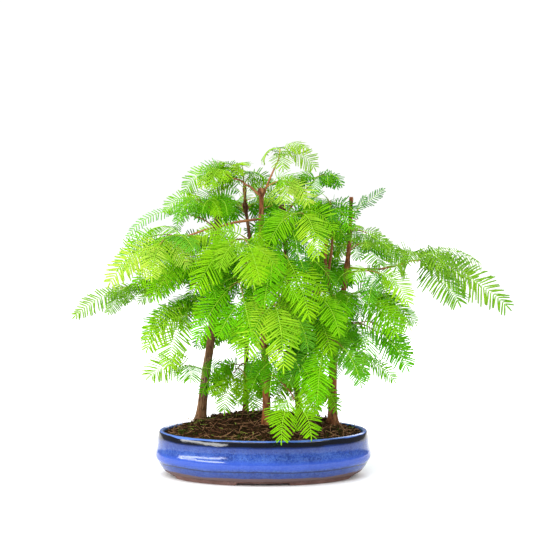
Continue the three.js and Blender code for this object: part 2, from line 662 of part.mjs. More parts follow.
function makePlant() {
  const trunks = TRUNKS.map(makeTrunk);
  const limbs = new Map(trunks.map((trunk) => [trunk.name, trunk]));
  const pieces = [
    { name: "pot", look: "glaze", solid: makePot() },
    { name: "pot_base", look: "clay", solid: makeBase() },
    { name: "soil", look: "soil", solid: makeSoil(trunks) },
    ...trunks,
  ];
  for (const sizes of BOUGHS) {
    const bough = makeBough(sizes, limbs);
    limbs.set(bough.name, bough);
    pieces.push(bough);
  }
  const stems = MASSES.map((sizes) => makeStem(sizes, limbs));
  pieces.push(...stems);
  stems.forEach((stem, index) => addSprays(stem, SEED_STEP * (index + 1), pieces));
  const group = new THREE.Group();
  for (const { name, solid, look } of pieces) {
    group.add(toMesh(name, solid, look));
  }
  const middle = new THREE.Box3().setFromObject(group).getCenter(new THREE.Vector3());
  group.position.set(-Math.round(middle.x), -Math.round(middle.y), 0);
  return group;
}

export default makePlant();
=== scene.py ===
# Dawn redwood bonsai forest: bark, needles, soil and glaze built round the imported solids.
# Lengths are millimetres in the pot's frame, with its origin on the ground under the middle of the pot,
# +X to the right and +Y to the back. They become metres in the row's frame where a piece is made.
# The floor, the lights and the grain of the materials are in metres.

import math

import bpy
import numpy as np
from mathutils import Euler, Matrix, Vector, noise


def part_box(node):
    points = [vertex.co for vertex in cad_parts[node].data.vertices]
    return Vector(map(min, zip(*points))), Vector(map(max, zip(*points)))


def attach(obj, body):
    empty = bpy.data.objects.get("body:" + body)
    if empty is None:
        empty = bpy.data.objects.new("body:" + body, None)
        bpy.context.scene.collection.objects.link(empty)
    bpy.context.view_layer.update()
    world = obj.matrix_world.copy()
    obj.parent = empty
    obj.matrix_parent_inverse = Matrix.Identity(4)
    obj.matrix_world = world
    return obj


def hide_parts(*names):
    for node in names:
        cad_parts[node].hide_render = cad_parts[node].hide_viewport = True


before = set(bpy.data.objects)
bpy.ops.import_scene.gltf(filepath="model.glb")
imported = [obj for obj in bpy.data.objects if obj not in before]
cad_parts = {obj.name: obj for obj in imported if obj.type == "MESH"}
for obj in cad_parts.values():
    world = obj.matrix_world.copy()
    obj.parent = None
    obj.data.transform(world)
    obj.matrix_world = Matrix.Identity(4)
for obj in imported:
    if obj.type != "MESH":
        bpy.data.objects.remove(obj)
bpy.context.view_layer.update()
pot_low, pot_high = (np.array(corner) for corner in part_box("pot"))
MIDDLE = np.array([(pot_low[0] + pot_high[0]) / 2, (pot_low[1] + pot_high[1]) / 2, 0.0])
UP = np.array([0.0, 0.0, 1.0])

# Camera: the photograph's own viewing angle, with its focus and picture width in pixels
SENSOR_WIDTH = 36
FOCUS = 1880
PICTURE_WIDTH = 533
CAMERA_PLACE = (3.9, -2166.6, 382.0)
CAMERA_TILT = 86.3
CAMERA_REACH = 50

# Floor, surroundings and lights, with the place, target, size and power of each area light
FLOOR_HALF_WIDTH = 6.0
BACKDROP = 1.02
AMBIENT_LIGHT = 0.82
GLOSS_LIGHT = 0.3
SUN_LIGHT = 2.3
SUN_WIDTH = 50
SUN_PLACE = (-0.45, -1.0, 1.7)
AREA_LIGHTS = {
    "back": ((0.5, 1.5, 1.1), (0, 0, 0.25), (1.4, 0.9), 18),
    "strip": ((-1.25, -0.75, 0.42), (0, 0, 0.05), (1.5, 0.2), 14),
    "right_strip": ((1.1, -0.95, 0.85), (0, 0, 0.05), (0.9, 0.2), 5),
}

# Pot
OVAL_DIFFERENCE = 30
OVAL_BLEND = 90
GLAZE_BOTTOM = 5.5
RIM_TOP = 52.5
RIDGE_HALF_LENGTH = 125
INNER_WALL = 115
POT_SEGMENTS = 192
PROFILE_STEPS = 4
STRAIGHT_STEP = 20
BASE_HALF_LENGTH = 109
FOOT_WIDTH = 12
FOOT_HEIGHT = 3
NOTCH_LENGTH = 61
NOTCH_WIDTH = 64
NOTCH_LEAD = 0.6
NOTCH_SLOPE = 1.8
WALL_PROFILE = [
    (0, 5.5), (108, 5.5), (113.4, 5.6), (114.6, 6.5), (117.4, 9.6), (119.7, 12.8), (121.1, 15.4),
    (122, 17.2), (122.9, 18.5), (124.1, 20.4), (124.8, 22.4), (125, 24.6), (124.8, 27), (124.3, 29.2),
    (123.6, 31.4), (123, 34), (122.5, 37.5), (122.3, 41), (122.2, 43.8), (121.9, 46), (121.5, 48),
    (121.1, 49.6), (120.6, 51), (119.7, 52), (118.2, 52.5), (116.6, 52.2), (115.7, 51.4), (115.3, 50.2),
    (115.2, 46), (115.1, 38), (113.6, 24), (112, 17), (106, 12.1), (0, 12),
]

# Soil
SOIL_EDGE = 50.2
MOUND_HEIGHT = 17
MOUND_HALF_LENGTH = 118
MOUND_HALF_WIDTH = 88
MOUND_MIDDLE_Y = 25
MOUND_EDGE_SHARE = 0.28
SEAT_SINK = 1
SOIL_BOTTOM = 40
SOIL_GAP = 0.35
SOIL_RINGS = 64
SOIL_SEGMENTS = 200
SMOOTH_EDGE_SHARE = 0.06
SURFACE_DROP = 0.5
SPOT_MARGIN = 0.5
SOIL_COLOURS = ((0.007, 0.0035, 0.0013), (0.05, 0.025, 0.01))

# Roughness of the surface: height, scale and seed of each layer of noise
SURFACE_ROUGHNESS = [(1.5, 0.09, 3.1), (1.2, 0.33, 8.4)]

# Loose pieces: how many, seed, dark and light colours, smallest and largest size, and how long they are
LITTER = {
    "soil_crumbs": (5200, 11, ((0.01, 0.005, 0.002), (0.08, 0.04, 0.017)), (0.6, 3), 1.5),
    "bark_chips": (900, 12, ((0.06, 0.024, 0.01), (0.2, 0.09, 0.045)), (0.5, 1.5), 3.2),
}
LITTER_GRAIN = 500
SMALLER_FAVOURED = 2.5
CRUMB_UNEVENNESS = (0.6, 1.15)
CRUMB_FLATNESS = 0.7
CRUMB_LIFT = 0.2
FULL_TURN = 6.28

# Root fibres, fallen needles and the tufts of moss, each with how many there are or the ranges of its sizes
FIBRES = 760
FIBRE_LENGTH = (4, 17)
FIBRE_CLIMB = (-4, 12)
FIBRE_UPTURN = 45
FIBRE_TURN = (60, 120)
FIBRE_STEPS = 7
FIBRE_RADII = (0.4, 0.2)
FIBRE_MARGIN = 1
FALLEN_NEEDLES = 70
FALLEN_MARGIN = 10
FALLEN_LENGTH = (9, 17)
FALLEN_CLIMB = (-6, 10)
FALLEN_LIFT = 0.7
TUFT_WIDTH = (0.25, 0.5)
TUFT_HEIGHT = (0.9, 2.6)
TUFT_LEAN = 0.4

# Patches of moss: middle and spread along and across the pot, and the number of tufts
MOSS_PATCHES = [
    ((-74, 18, 8, 4), 420), ((-88, 22, 6, 5), 200), ((-30, -62, 26, 6), 520), ((-92, -22, 10, 9), 260),
    ((20, -70, 22, 4), 260), ((-10, 20, 12, 8), 180), ((62, -46, 18, 8), 240), ((88, -12, 8, 10), 160),
    ((52, 58, 16, 8), 200), ((-50, 62, 18, 6), 220), ((0, 0, 70, 50), 260),
]

# Trunks: root flare, knobs, rings and the relief of the bark
FLARE_SHARE = 0.38
FLARE_HEIGHT = 7
FLARE_LOBES = 4
FLARE_LOBE_SHARE = 0.22
KNOB_SPREAD = 4.5
TRUNK_RING_STEP = 1.5
TRUNK_SIDES = 44
CUT_DIP = 0.6
RELIEF_SCALE = 0.42
PLATE_SCALE = 1.05
BARK_SQUEEZE = 0.25
FISSURE_WIDTH = 0.12
FISSURE_DEPTH = 4.5
BARK_INSET = 0.12

# Each trunk's centre line from the ground up, radius at the bottom and top, knobs as (height, swelling)
# and bark
TRUNKS = {
    "left_trunk": dict(
        line=[(-74, 32), (-71, 32, 83), (-67, 32, 117), (-62, 31, 149), (-56, 30, 204), (-54, 30, 260),
              (-54, 30, 303)],
        base=5.9, top=3, knobs=[(165, 1.2), (257, 0.9), (299, 1.6)], bark="bark_grey"),
    "back_trunk": dict(
        line=[(-21, 52), (-20, 52, 131), (-17, 51, 201), (-16, 50, 270), (-21, 50, 310), (-22, 50, 336)],
        base=3.3, top=1.7, knobs=[(309, 1.9), (329, 0.8)], bark="bark_brown"),
    "centre_trunk": dict(
        line=[(3, -20), (4, -20, 90), (2, -20, 141), (-1, -20, 204), (-3, -20, 262), (-2, -20, 302),
              (-2, -20, 333)],
        base=4.8, top=2.6, knobs=[(298, 0.8), (330, 1.6)], bark="bark_red"),
    "inner_trunk": dict(
        line=[(43, 40), (37, 40, 117), (33, 41, 165), (30, 40, 205), (26, 40, 261), (22, 40, 312)],
        base=3.6, top=2.4, knobs=[(235, 0.8), (307, 2)], bark="bark_brown"),
    "right_trunk": dict(
        line=[(81, 9), (81, 9, 98), (82, 9, 132), (89, 9, 193), (95, 9, 223), (100, 9, 272), (102, 9, 322)],
        base=5.5, top=1.8, knobs=[(188, 1.2), (243, 0.8), (318, 0.6)], bark="bark_red"),
}

# Boughs: points along a curve, step between rings, wander, joints and the collar where one leaves
CURVE_POINTS = 201
BOUGH_STEP = 2.2
BOUGH_WANDER = (0.4, 0.3, 1)
JOINT_SHARE = 0.14
JOINT_SPACING = 17
JOINT_SPREAD = 1.6
COLLAR = 0.25
COLLAR_REACH = 3

# What carries each bough, the height or share of length where it leaves, its tip, bow and radii
BOUGHS = {
    "leader": ("centre_trunk", 319, (18, -22, 366), (-1, 0, 1), (1.4, 0.8)),
    "second_leader": ("right_trunk", 189, (73, 0, 274), (-13, -3, -3), (2.5, 1.4)),
    "fork_stem": ("second_leader", 0.5, (81, 8, 292), (3, 0, -3), (1.8, 1.2)),
    "upper_left_bough": ("centre_trunk", 323, (-36, 5, 344), (-4, 0, 9), (1.4, 0.8)),
    "long_left_bough": ("centre_trunk", 298, (-87, -45, 279), (0, 0, 5), (1.6, 0.9)),
    "lower_left_bough": ("left_trunk", 210, (-121, 5, 225), (0, 0, 9), (1.5, 0.8)),
    "low_front_bough": ("centre_trunk", 120, (35, -80, 99), (0, 0, 14), (1.4, 0.8)),
    "top_right_bough": ("inner_trunk", 296, (59, 20, 339), (0, 0, 6), (1.4, 0.8)),
    "long_right_bough": ("right_trunk", 241, (165, -8, 247), (0, 0, -10), (1.4, 0.8)),
}

# Masses of foliage: carrier, where the stem leaves it, the stem's end and arch, main sprays, their length
# and fall, tone, share of the full needle length, side twigs and finer sprays
MASSES = {
    "leader_sprays": ("leader", 1, (19.6, -22, 378), 0, 3, 44, 62, "outer_young", 1.2, 0, 3),
    "leader_side_sprays": ("leader", 0.3, (28, -34, 340), 8, 4, 46, 78, "young", 1.25, 0, 4),
    "upper_left_sprays": ("upper_left_bough", 1, (-52, 5, 352), 4, 4, 56, 70, "young", 1, 0, 6),
    "left_top_sprays": ("left_trunk", 297, (-76, -12, 320), 6, 4, 51, 66, "fresh", 0.95, 1, 5),
    "left_arching_sprays": ("left_trunk", 284, (-96, 14, 303), 8, 2, 82, 60, "deep", 0.4, 0, 0),
    "long_left_sprays": ("long_left_bough", 1, (-116, -52, 275), 5, 4, 80, 55, "young", 1, 2, 5),
    "far_left_sprays": ("lower_left_bough", 1, (-165, 0, 216), 3, 4, 62, 42, "outer", 0.8, 0, 6),
    "left_middle_sprays": ("left_trunk", 235, (-90, -35, 249), 10, 3, 78, 56, "fresh", 1.05, 1, 5),
    "lower_left_sprays": ("left_trunk", 178, (-86, -30, 187), 10, 3, 80, 70, "fresh", 1.05, 1, 3),
    "left_low_twig": ("left_trunk", 117, (-90, 8, 126), 2, 2, 58, 28, "fresh", 1.25, 0, 3),
    "back_trunk_top_sprays": ("back_trunk", 315, (-24, 27, 356), 6, 4, 54, 60, "young", 1, 2, 7),
    "back_trunk_low_twig": ("back_trunk", 124, (-34, 10, 117), 6, 4, 57, 78, "fresh", 1.05, 3, 9),
    "upper_right_sprays": ("inner_trunk", 285, (46, -40, 304), 14, 3, 76, 62, "fresh", 1.05, 2, 8),
    "front_left_sprays": ("centre_trunk", 264, (-36, -66, 273), 14, 4, 84, 58, "bright", 1.05, 2, 6),
    "front_right_sprays": ("centre_trunk", 268, (27, -74, 256), 16, 3, 82, 54, "green", 1.05, 2, 5),
    "front_middle_sprays": ("centre_trunk", 218, (14, -96, 203), 16, 3, 78, 78, "bright", 1.1, 2, 5),
    "low_front_sprays": ("low_front_bough", 1, (31, -91, 98), 2, 2, 62, 88, "bright", 1.1, 0, 2),
    "inner_left_sprays": ("centre_trunk", 231, (-38, -62, 221), 12, 3, 76, 65, "green", 1, 2, 5),
    "low_middle_sprays": ("centre_trunk", 147, (36, -62, 143), 10, 3, 66, 75, "green", 1, 2, 4),
    "top_right_sprays": ("top_right_bough", 1, (59, 8, 344), 3, 4, 42, 70, "green", 0.85, 1, 5),
    "inner_front_sprays": ("inner_trunk", 194, (55, -33, 196), 12, 3, 76, 65, "green", 1, 2, 6),
    "inner_low_twig": ("inner_trunk", 112, (48, -10, 114), 8, 4, 56, 76, "bright", 1, 2, 7),
    "top_twig": ("right_trunk", 296, (111, 6, 309), 2, 1, 42, -38, "deep", 0.6, 0, 1),
    "right_upper_sprays": ("right_trunk", 283, (119, -10, 281), 4, 3, 44, 34, "outer", 0.85, 0, 3),
    "long_right_sprays": ("long_right_bough", 1, (183, -13, 249), 3, 3, 119, 36, "outer", 1.15, 0, 5),
    "right_hanging_sprays": ("right_trunk", 232, (133, -34, 236), 8, 3, 62, 62, "fresh", 1, 0, 3),
    "right_middle_sprays": ("right_trunk", 202, (114, -22, 206), 9, 3, 74, 48, "fresh", 1.1, 1, 1),
    "right_lower_sprays": ("right_trunk", 175, (128, -34, 171), 9, 3, 70, 52, "green", 1.1, 1, 2),
    "right_low_twig": ("right_trunk", 130, (118, -8, 132), 3, 2, 46, 50, "fresh", 0.9, 0, 3),
    "right_front_sprays": ("right_trunk", 159, (69, -68, 156), 12, 4, 76, 70, "green", 1, 2, 5),
    "right_front_high_sprays": ("right_trunk", 208, (53, -58, 211), 12, 3, 76, 65, "green", 1, 2, 5),
    "fork_sprays": ("fork_stem", 1, (77, 9, 309), 2, 3, 58, 66, "green", 1, 3, 9),
    "back_left_high_sprays": ("left_trunk", 258, (-90, 98, 268), 12, 3, 66, 50, "green", 1, 2, 5),
    "back_left_sprays": ("left_trunk", 220, (-102, 94, 231), 12, 3, 68, 50, "fresh", 1, 2, 5),
    "back_left_low_sprays": ("left_trunk", 172, (-84, 97, 202), 12, 3, 56, 56, "green", 1, 2, 5),
    "back_high_sprays": ("back_trunk", 292, (-32, 118, 314), 12, 3, 72, 50, "fresh", 1, 4, 8),
    "back_middle_sprays": ("back_trunk", 231, (-30, 130, 246), 12, 3, 80, 60, "green", 1, 4, 8),
    "back_low_sprays": ("back_trunk", 154, (-27, 118, 163), 12, 3, 61, 66, "fresh", 1, 4, 8),
    "back_right_high_sprays": ("inner_trunk", 276, (59, 116, 292), 12, 3, 72, 50, "green", 1, 4, 8),
    "back_right_sprays": ("inner_trunk", 218, (57, 128, 241), 12, 3, 80, 62, "green", 1, 4, 8),
    "back_right_low_sprays": ("inner_trunk", 155, (71, 118, 166), 12, 3, 72, 70, "fresh", 1, 4, 8),
    "right_back_high_sprays": ("right_trunk", 258, (124, 84, 262), 10, 3, 66, 45, "fresh", 1, 2, 4),
    "right_back_sprays": ("right_trunk", 200, (130, 82, 203), 12, 3, 70, 58, "fresh", 1, 2, 4),
}

# Colours of the glaze, half length and half width of the inside that is painted light, and its bands: colour,
# and how strong it is at shares of the pot's height
GLAZE_BLUES = [(0.008, 0.024, 0.16), (0.018, 0.055, 0.29), (0.045, 0.105, 0.38)]
GLAZE_MOTTLE = (0.075, 0.15, 0.43)
GLAZE_SPECK = (0.004, 0.01, 0.07)
GLAZE_LIGHT = (0.085, 0.18, 0.55)
GLAZE_PAINTED_LIGHT_INSIDE = (119.5, 89.5)
GLAZE_BANDS = {
    # its lower part is painted shade, darkening the floor-lit wall near the foot; its upper part darkens the
    # wall towards the lip
    "navy_with_painted_shade_low": ((0.008, 0.024, 0.15),
             [(0.1, 0.7), (0.2, 0.5), (0.33, 0.3), (0.36, 0), (0.64, 0), (0.78, 0.5), (0.84, 0.75)]),
    "ridge": ((0.03, 0.08, 0.44), [(0.35, 0), (0.41, 0.75), (0.52, 0.7), (0.6, 0)]),
    "groove": ((0.006, 0.012, 0.04), [(0.31, 0), (0.325, 0.8), (0.335, 0.8), (0.355, 0)]),
    # painted dark reflection: a very dark band under the lip stands in for the dark studio that the glossy
    # rim reflects
    "painted_dark_reflection": ((0.0025, 0.0035, 0.009), [(0.82, 0), (0.875, 1), (0.968, 1), (0.978, 0)]),
    "foot": ((0.12, 0.07, 0.058), [(0.17, 0.95), (0.195, 0)]),
}

# Colours of clay, of barks from dark to light with a warm patch, and of twigs, ribs and fibres
CLAY_COLOURS = [(0.13, 0.062, 0.05), (0.24, 0.13, 0.11)]
CLAY_GRAIN = (0.07, 0.035, 0.03)
BARK_STRETCH = (1, 1, 0.22)
BARKS = {
    "bark_grey": ((0.03, 0.014, 0.006), (0.14, 0.078, 0.038), (0.37, 0.24, 0.14), (0.22, 0.095, 0.038)),
    "bark_brown": ((0.018, 0.007, 0.003), (0.08, 0.032, 0.013), (0.2, 0.1, 0.045), (0.16, 0.05, 0.016)),
    "bark_red": ((0.028, 0.009, 0.003), (0.14, 0.05, 0.018), (0.34, 0.17, 0.07), (0.32, 0.1, 0.025)),
}
TWIG_COLOURS = {
    "bough_bark": [(0.13, 0.042, 0.014), (0.32, 0.13, 0.04)],
    "twig_bark": [(0.2, 0.085, 0.02), (0.36, 0.24, 0.04)],
    "spray_rib": [(0.26, 0.6, 0.02), (0.4, 0.72, 0.03)],
    "fibre": [(0.13, 0.05, 0.02), (0.42, 0.23, 0.11)],
}

# Greens of the needles, how their darker and lighter shades differ, and the greens of moss and litter
DARKER_GREEN = (0.62, 0.78, 0.7)
LIGHTER_GREEN = (1.2, 1.06, 1.1)
MOSS_GREEN = (0.055, 0.11, 0.007)
FALLEN_GREEN = (0.34, 0.46, 0.07)

# Sprays: the same rule as the solids' blades, with real needles
SEED_STEP = 104729
RULE_FACTOR = 1664525
RULE_ADDEND = 1013904223
RULE_RANGE = 2**32
STEM_RADII = (1.0, 0.55)
STEM_WANDER = (0.3, 0.3, 1)
SPRAY_FAN = 58
SPRAY_FAN_SPREAD = 9
STEEP_STEM = 55
ROUND_STEM = 137.5
FIRST_SPRAY = 0.9
LAST_SPRAY = 0.42
SIDE_SPRAY_SHARE = 0.86
LENGTH_SPREAD = 5
ANGLE_SPREAD = 7
STEEPEST_START = 38
START_ON_STEEP_STEM = 8
BEND_EASE = 0.8
FACE_TILT = 50
FACE_SPREAD = 22
CROWN_MIDDLE_Y = 15
ROOT_DEPTH = 0.9
TIP_ROOT_DEPTH = 4
BARE_FOOT = 9
RIB_RADII = (0.42, 0.2)
NEEDLE_SPACING = 2.75
NEEDLE_LENGTH = 21
NEEDLE_HALF_WIDTH = 0.82
NEEDLE_THICKNESS = 0.3
NEEDLE_CORNERS = 11
EVEN_LENGTH = 60
FINEST = 0.85
COARSEST = 1.25
COARSE_GROWTH = 0.3
FULL_SPRAY_LENGTH = 80
ROOT_NEEDLE_SHARE = 0.5
WIDENING = 2
NARROWS_FROM = 0.45
NARROWS_BY = 0.55
NARROWING_EASE = 1.5
SWEEP_AT_ROOT = 74
SWEEP_AT_TIP = 48
SWEEP_SPREAD = 8
NEEDLE_DROOP = 0.2
DROOP_SPREAD = 0.09
ROOT_SPREAD = 0.4
NEEDLE_REACH = (0.82, 1.08)
END_NEEDLE_SHARE = 0.8

# A needle's bend, and how far along it each of its three rings stands and how wide it is there
NEEDLE_BEND = 1.4
NEEDLE_BEND_EASE = 1.6
NEEDLE_RINGS = [(0.08, 0.75), (0.5, 1.0), (0.92, 0.8)]

# Finer sprays and side twigs: the shares of the stem where they stand, and the ranges they are dealt from
# below this share of the stem a spray counts as near the trunk: it fans wider and takes a darker tone as
# painted shade
INNER_REACH = 0.62
FINER_SPAN = (0.78, 0.12)
FINER_JITTER = (0.2, 0.8)
FINER_FAN = (15, 70)
INNER_FAN = (25, 110)
STEEPEST_FINER = 45
FINER_RANGES = dict(climb=(-15, 30), fall=(-22, 10), length=(0.5, 0.88), tilt=(-45, 35), curl=(-25, 25))
TWIG_SPAN = (0.8, 0.22)
TWIG_JITTER = (0.25, 0.75)
TWIG_FAN = (38, 62)
TWIG_LENGTH = (0.3, 0.5)
TWIG_RISE = (5, 30)
TWIG_DIP = (-18, 4)
TWIG_RADII = (0.75, 0.5)
TWIG_SPRAYS = 3
TWIG_SPRAY_SHARE = 0.74
TWIG_CURL = (-20, 20)
MAIN_CURL = (-12, 12)
EXTRA_DROOP = (-0.08, 0.14)

# How far needles and ribs keep from limbs, pot and soil
LIMB_STEP = 2.0
LIMB_MARGIN = 0.8
RIB_MARGIN = 0.3
MOST_BLOCKED = 0.12
POT_MARGIN = 1.2
RIM_MARGIN = 1.5
WALL_MARGIN = 0.7
SOIL_MARGIN = 1
POINTS_AT_ONCE = 4000

# Tones: the greens that a mass's sprays are dealt, and the darker tone of its sprays near the trunk, which is
# painted shade for the crown's shaded inside
TONES = {
    "outer_young": ("outer_young", "outer"),
    "outer": ("outer", "outer", "outer_green"),
    "bright": ("fresh_light", "fresh"),
    "young": ("young", "young", "fresh_light", "fresh"),
    "fresh": ("fresh", "fresh", "fresh_light", "green_light", "cool"),
    "green": ("green", "green", "green_light", "fresh", "cool", "deep"),
    "deep": ("deep", "deep", "green", "deep_blue"),
    "lighter_inner_shade": ("green", "deep", "inner"),
    "inner": ("inner", "inner", "deep_blue"),
}
INNER_SHADE_TONES = {"outer_young": "outer", "outer": "outer", "bright": "fresh", "young": "fresh",
               "fresh": "lighter_inner_shade", "green": "inner", "deep": "inner"}

# Short dead twigs: trunk, height, heading, climb and length
SNAG_BOW = 0.12
SNAG_RADII = (0.8, 0.35)
SNAGS = [
    ("left_trunk", 156, 172, 48, 17), ("left_trunk", 151, 196, 30, 13), ("left_trunk", 132, 10, 40, 10),
    ("left_trunk", 300, 150, 35, 13), ("right_trunk", 292, 20, 25, 11), ("right_trunk", 281, 190, 40, 12),
    ("right_trunk", 268, 350, 35, 14), ("right_trunk", 114, 185, 30, 9), ("centre_trunk", 308, 5, 20, 13),
    ("centre_trunk", 290, 350, 25, 12), ("centre_trunk", 104, 170, 30, 9), ("back_trunk", 300, 175, 40, 12),
]

# Base colours of the needles; inner is the darker green of the painted shade near the trunks
NEEDLE_COLOURS = {
    "outer_young": (0.40, 0.66, 0.05),
    "outer": (0.29, 0.56, 0.035),
    "outer_green": (0.21, 0.49, 0.022),
    "young": (0.56, 0.80, 0.085),
    "fresh_light": (0.43, 0.76, 0.028),
    "fresh": (0.33, 0.71, 0.01),
    "green_light": (0.29, 0.70, 0.01),
    "green": (0.22, 0.68, 0.007),
    "cool": (0.21, 0.60, 0.035),
    "deep": (0.16, 0.56, 0.006),
    "deep_blue": (0.10, 0.42, 0.02),
    "inner": (0.135, 0.47, 0.006),
}


def lerp(low, high, share):
    return low + (high - low) * share


def circle(count):
    """Even angles round a circle."""
    return np.arange(count) * 2 * math.pi / count


def unit(vectors):
    return vectors / np.linalg.norm(vectors, axis=-1, keepdims=True)


def between(t, start, end, lean_in, lean_out):
    """The point at share t of a smooth curve with the given leans at its start and end."""
    return (start + (end - start) * (3 * t**2 - 2 * t**3)
            + lean_in * (t**3 - 2 * t**2 + t) + lean_out * (t**3 - t**2))


def oval_half_width(half_length):
    return half_length - OVAL_DIFFERENCE * np.minimum(1, half_length / OVAL_BLEND)


def in_oval(x, y, half_length, share=1):
    """Whether places lie within a share of the pot's oval of the given half length."""
    return (x / half_length) ** 2 + (y / oval_half_width(half_length)) ** 2 < share**2


def to_wall(x, y):
    """How far places are from the pot's wall, as a share of its half length."""
    return 1 - np.hypot(x / INNER_WALL, y / oval_half_width(INNER_WALL))


def soil_height(x, y):
    """Height of the soil's surface: level at the pot's wall and mounded further in."""
    edge = np.clip(to_wall(x, y) / MOUND_EDGE_SHARE, 0, 1)
    dome = 1 - (x / MOUND_HALF_LENGTH) ** 2 - ((y - MOUND_MIDDLE_Y) / MOUND_HALF_WIDTH) ** 2
    return SOIL_EDGE + MOUND_HEIGHT * np.maximum(0, dome) * edge


def add_object(name, data):
    made = bpy.data.objects.new(name, data)
    bpy.context.scene.collection.objects.link(made)
    return made


def make_piece(name, points, faces, material, slot, nodes=(), smooth=True):
    """Makes one mesh piece from points in millimetres and faces that all have the same corner count."""
    points = np.asarray(points, dtype=float)
    faces = np.asarray(faces, dtype=np.int32)
    mesh = bpy.data.meshes.new(name)
    mesh.vertices.add(len(points))
    mesh.vertices.foreach_set("co", (points / 1000 + MIDDLE).astype(np.float32).ravel())
    mesh.loops.add(faces.size)
    mesh.loops.foreach_set("vertex_index", faces.ravel())
    mesh.polygons.add(len(faces))
    mesh.polygons.foreach_set("loop_start", np.arange(0, faces.size, faces.shape[1], dtype=np.int32))
    mesh.polygons.foreach_set("use_smooth", np.full(len(faces), smooth))
    mesh.update(calc_edges=True)
    mesh.validate()
    mesh.materials.append(material)
    piece = add_object(name, mesh)
    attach(piece, "root")
    if nodes:
        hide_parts(*sorted(nodes))


class Bundle:
    """Parts of one kind that are joined into a single piece."""

    def __init__(self):
        self.points = []
        self.faces = []
        self.nodes = set()
        self.count = 0

    def add(self, points, faces):
        self.points.append(points)
        self.faces.append(np.asarray(faces) + self.count)
        self.count += len(points)

    def piece(self, name, material, slot, smooth=True):
        make_piece(name, np.concatenate(self.points), np.concatenate(self.faces), material, slot,
                   self.nodes, smooth)


def closed_body(rows, first_end, last_end):
    """A closed body from rings of points and the point that closes it at each end."""
    count, sides = rows.shape[:2]
    row, column = np.meshgrid(np.arange(count - 1), np.arange(sides), indexing="ij")
    a = (row * sides + column).ravel()
    b = (row * sides + (column + 1) % sides).ravel()
    c, d = a + sides, b + sides
    ring = np.arange(sides)
    following = (ring + 1) % sides
    first, top = count * sides, (count - 1) * sides
    faces = np.concatenate([
        np.stack([a, b, d], 1),
        np.stack([a, d, c], 1),
        np.stack([np.full(sides, first), following, ring], 1),
        np.stack([np.full(sides, first + 1), top + ring, top + following], 1),
    ])
    return np.concatenate([rows.reshape(-1, 3), [first_end, last_end]]), faces


def body_of_rows(rows):
    """A closed body from rings whose first and last are single points on the axis."""
    return closed_body(rows[1:-1], rows[0, 0], rows[-1, 0])


def closed_tube(centres, radii, sides, wobble=0.0, seed=0):
    """A tube along a line of centres, closed by a point at each end."""
    tangents = unit(np.gradient(centres, axis=0))
    normal = np.array([1, 0.3, 0.2])
    angles = circle(sides)
    dealer = np.random.RandomState(seed)
    rows = []
    for centre, tangent, radius in zip(centres, tangents, radii):
        normal = normal - tangent * normal.dot(tangent)
        normal /= np.linalg.norm(normal)
        side = np.cross(tangent, normal)
        reach = radius * (1 + wobble * dealer.uniform(-1, 1, sides))[:, None]
        rows.append(centre + reach * (np.cos(angles)[:, None] * normal + np.sin(angles)[:, None] * side))
    return closed_body(np.stack(rows), centres[0], centres[-1])


class Curve:
    """A quadratic curve through three control points, measured by its length."""

    def __init__(self, start, bend, end):
        t = np.linspace(0, 1, CURVE_POINTS)[:, None]
        self.points = (1 - t) ** 2 * start + 2 * (1 - t) * t * bend + t**2 * end
        self.slopes = 2 * (1 - t) * (bend - start) + 2 * t * (end - bend)
        steps = np.linalg.norm(np.diff(self.points, axis=0), axis=1)
        self.lengths = np.concatenate([[0], np.cumsum(steps)])
        self.length = self.lengths[-1]

    def read(self, values, share):
        wanted = np.asarray(share) * self.length
        return np.stack([np.interp(wanted, self.lengths, values[:, k]) for k in range(3)], -1)

    def at(self, share):
        return self.read(self.points, share)

    def tangent(self, share):
        return unit(self.read(self.slopes, share))


def bowed(start, end, bow):
    """A curve from start to end whose middle control point is moved by bow."""
    end = np.array(end, dtype=float)
    return Curve(start, (start + end) / 2 + bow, end)


class Trunk:
    def __init__(self, sizes):
        x, y = sizes["line"][0]
        self.ground = math.floor(soil_height(x, y) - SEAT_SINK)
        self.line = np.array([(x, y, self.ground), *sizes["line"][1:]], dtype=float)
        self.top = self.line[-1, 2]
        self.sizes = sizes

    def centre(self, heights):
        """Points of the centre line on a smooth curve through the listed points."""
        heights = np.asarray(heights, dtype=float)[..., None]
        line, last = self.line, len(self.line) - 1
        numbers = np.arange(last + 1)
        run = line[np.minimum(last, numbers + 1)] - line[np.maximum(0, numbers - 1)]
        slopes = run / run[:, 2:]
        i = np.clip(np.searchsorted(line[:, 2], heights[..., 0]) - 1, 0, last - 1)
        step = line[i + 1, 2:] - line[i, 2:]
        t = (heights - line[i, 2:]) / step
        places = between(t, line[i], line[i + 1], step * slopes[i], step * slopes[i + 1])
        return np.concatenate([places[..., :2], heights], -1)

    def fade(self, heights):
        """How much of the root flare is left at a height."""
        return np.exp((self.ground - heights) / FLARE_HEIGHT)

    def radius(self, heights):
        share = (heights - self.ground) / (self.top - self.ground)
        taper = lerp(self.sizes["base"], self.sizes["top"], share)
        radius = taper * (1 + FLARE_SHARE * self.fade(heights))
        for at, swelling in self.sizes["knobs"]:
            radius = radius + swelling * np.exp(-(((heights - at) / KNOB_SPREAD) ** 2))
        return radius


def start_on(limb, at):
    """The point of a trunk's centre line at a height, or of a bough at a share of its length."""
    return limb.centre(at) if isinstance(limb, Trunk) else limb[0].at(at)


def make_dealer(seed):
    """Deals numbers between two limits by a seeded rule."""
    state = seed % RULE_RANGE

    def deal(low, high):
        nonlocal state
        state = (state * RULE_FACTOR + RULE_ADDEND) % RULE_RANGE
        return low + (high - low) * state / RULE_RANGE

    return deal


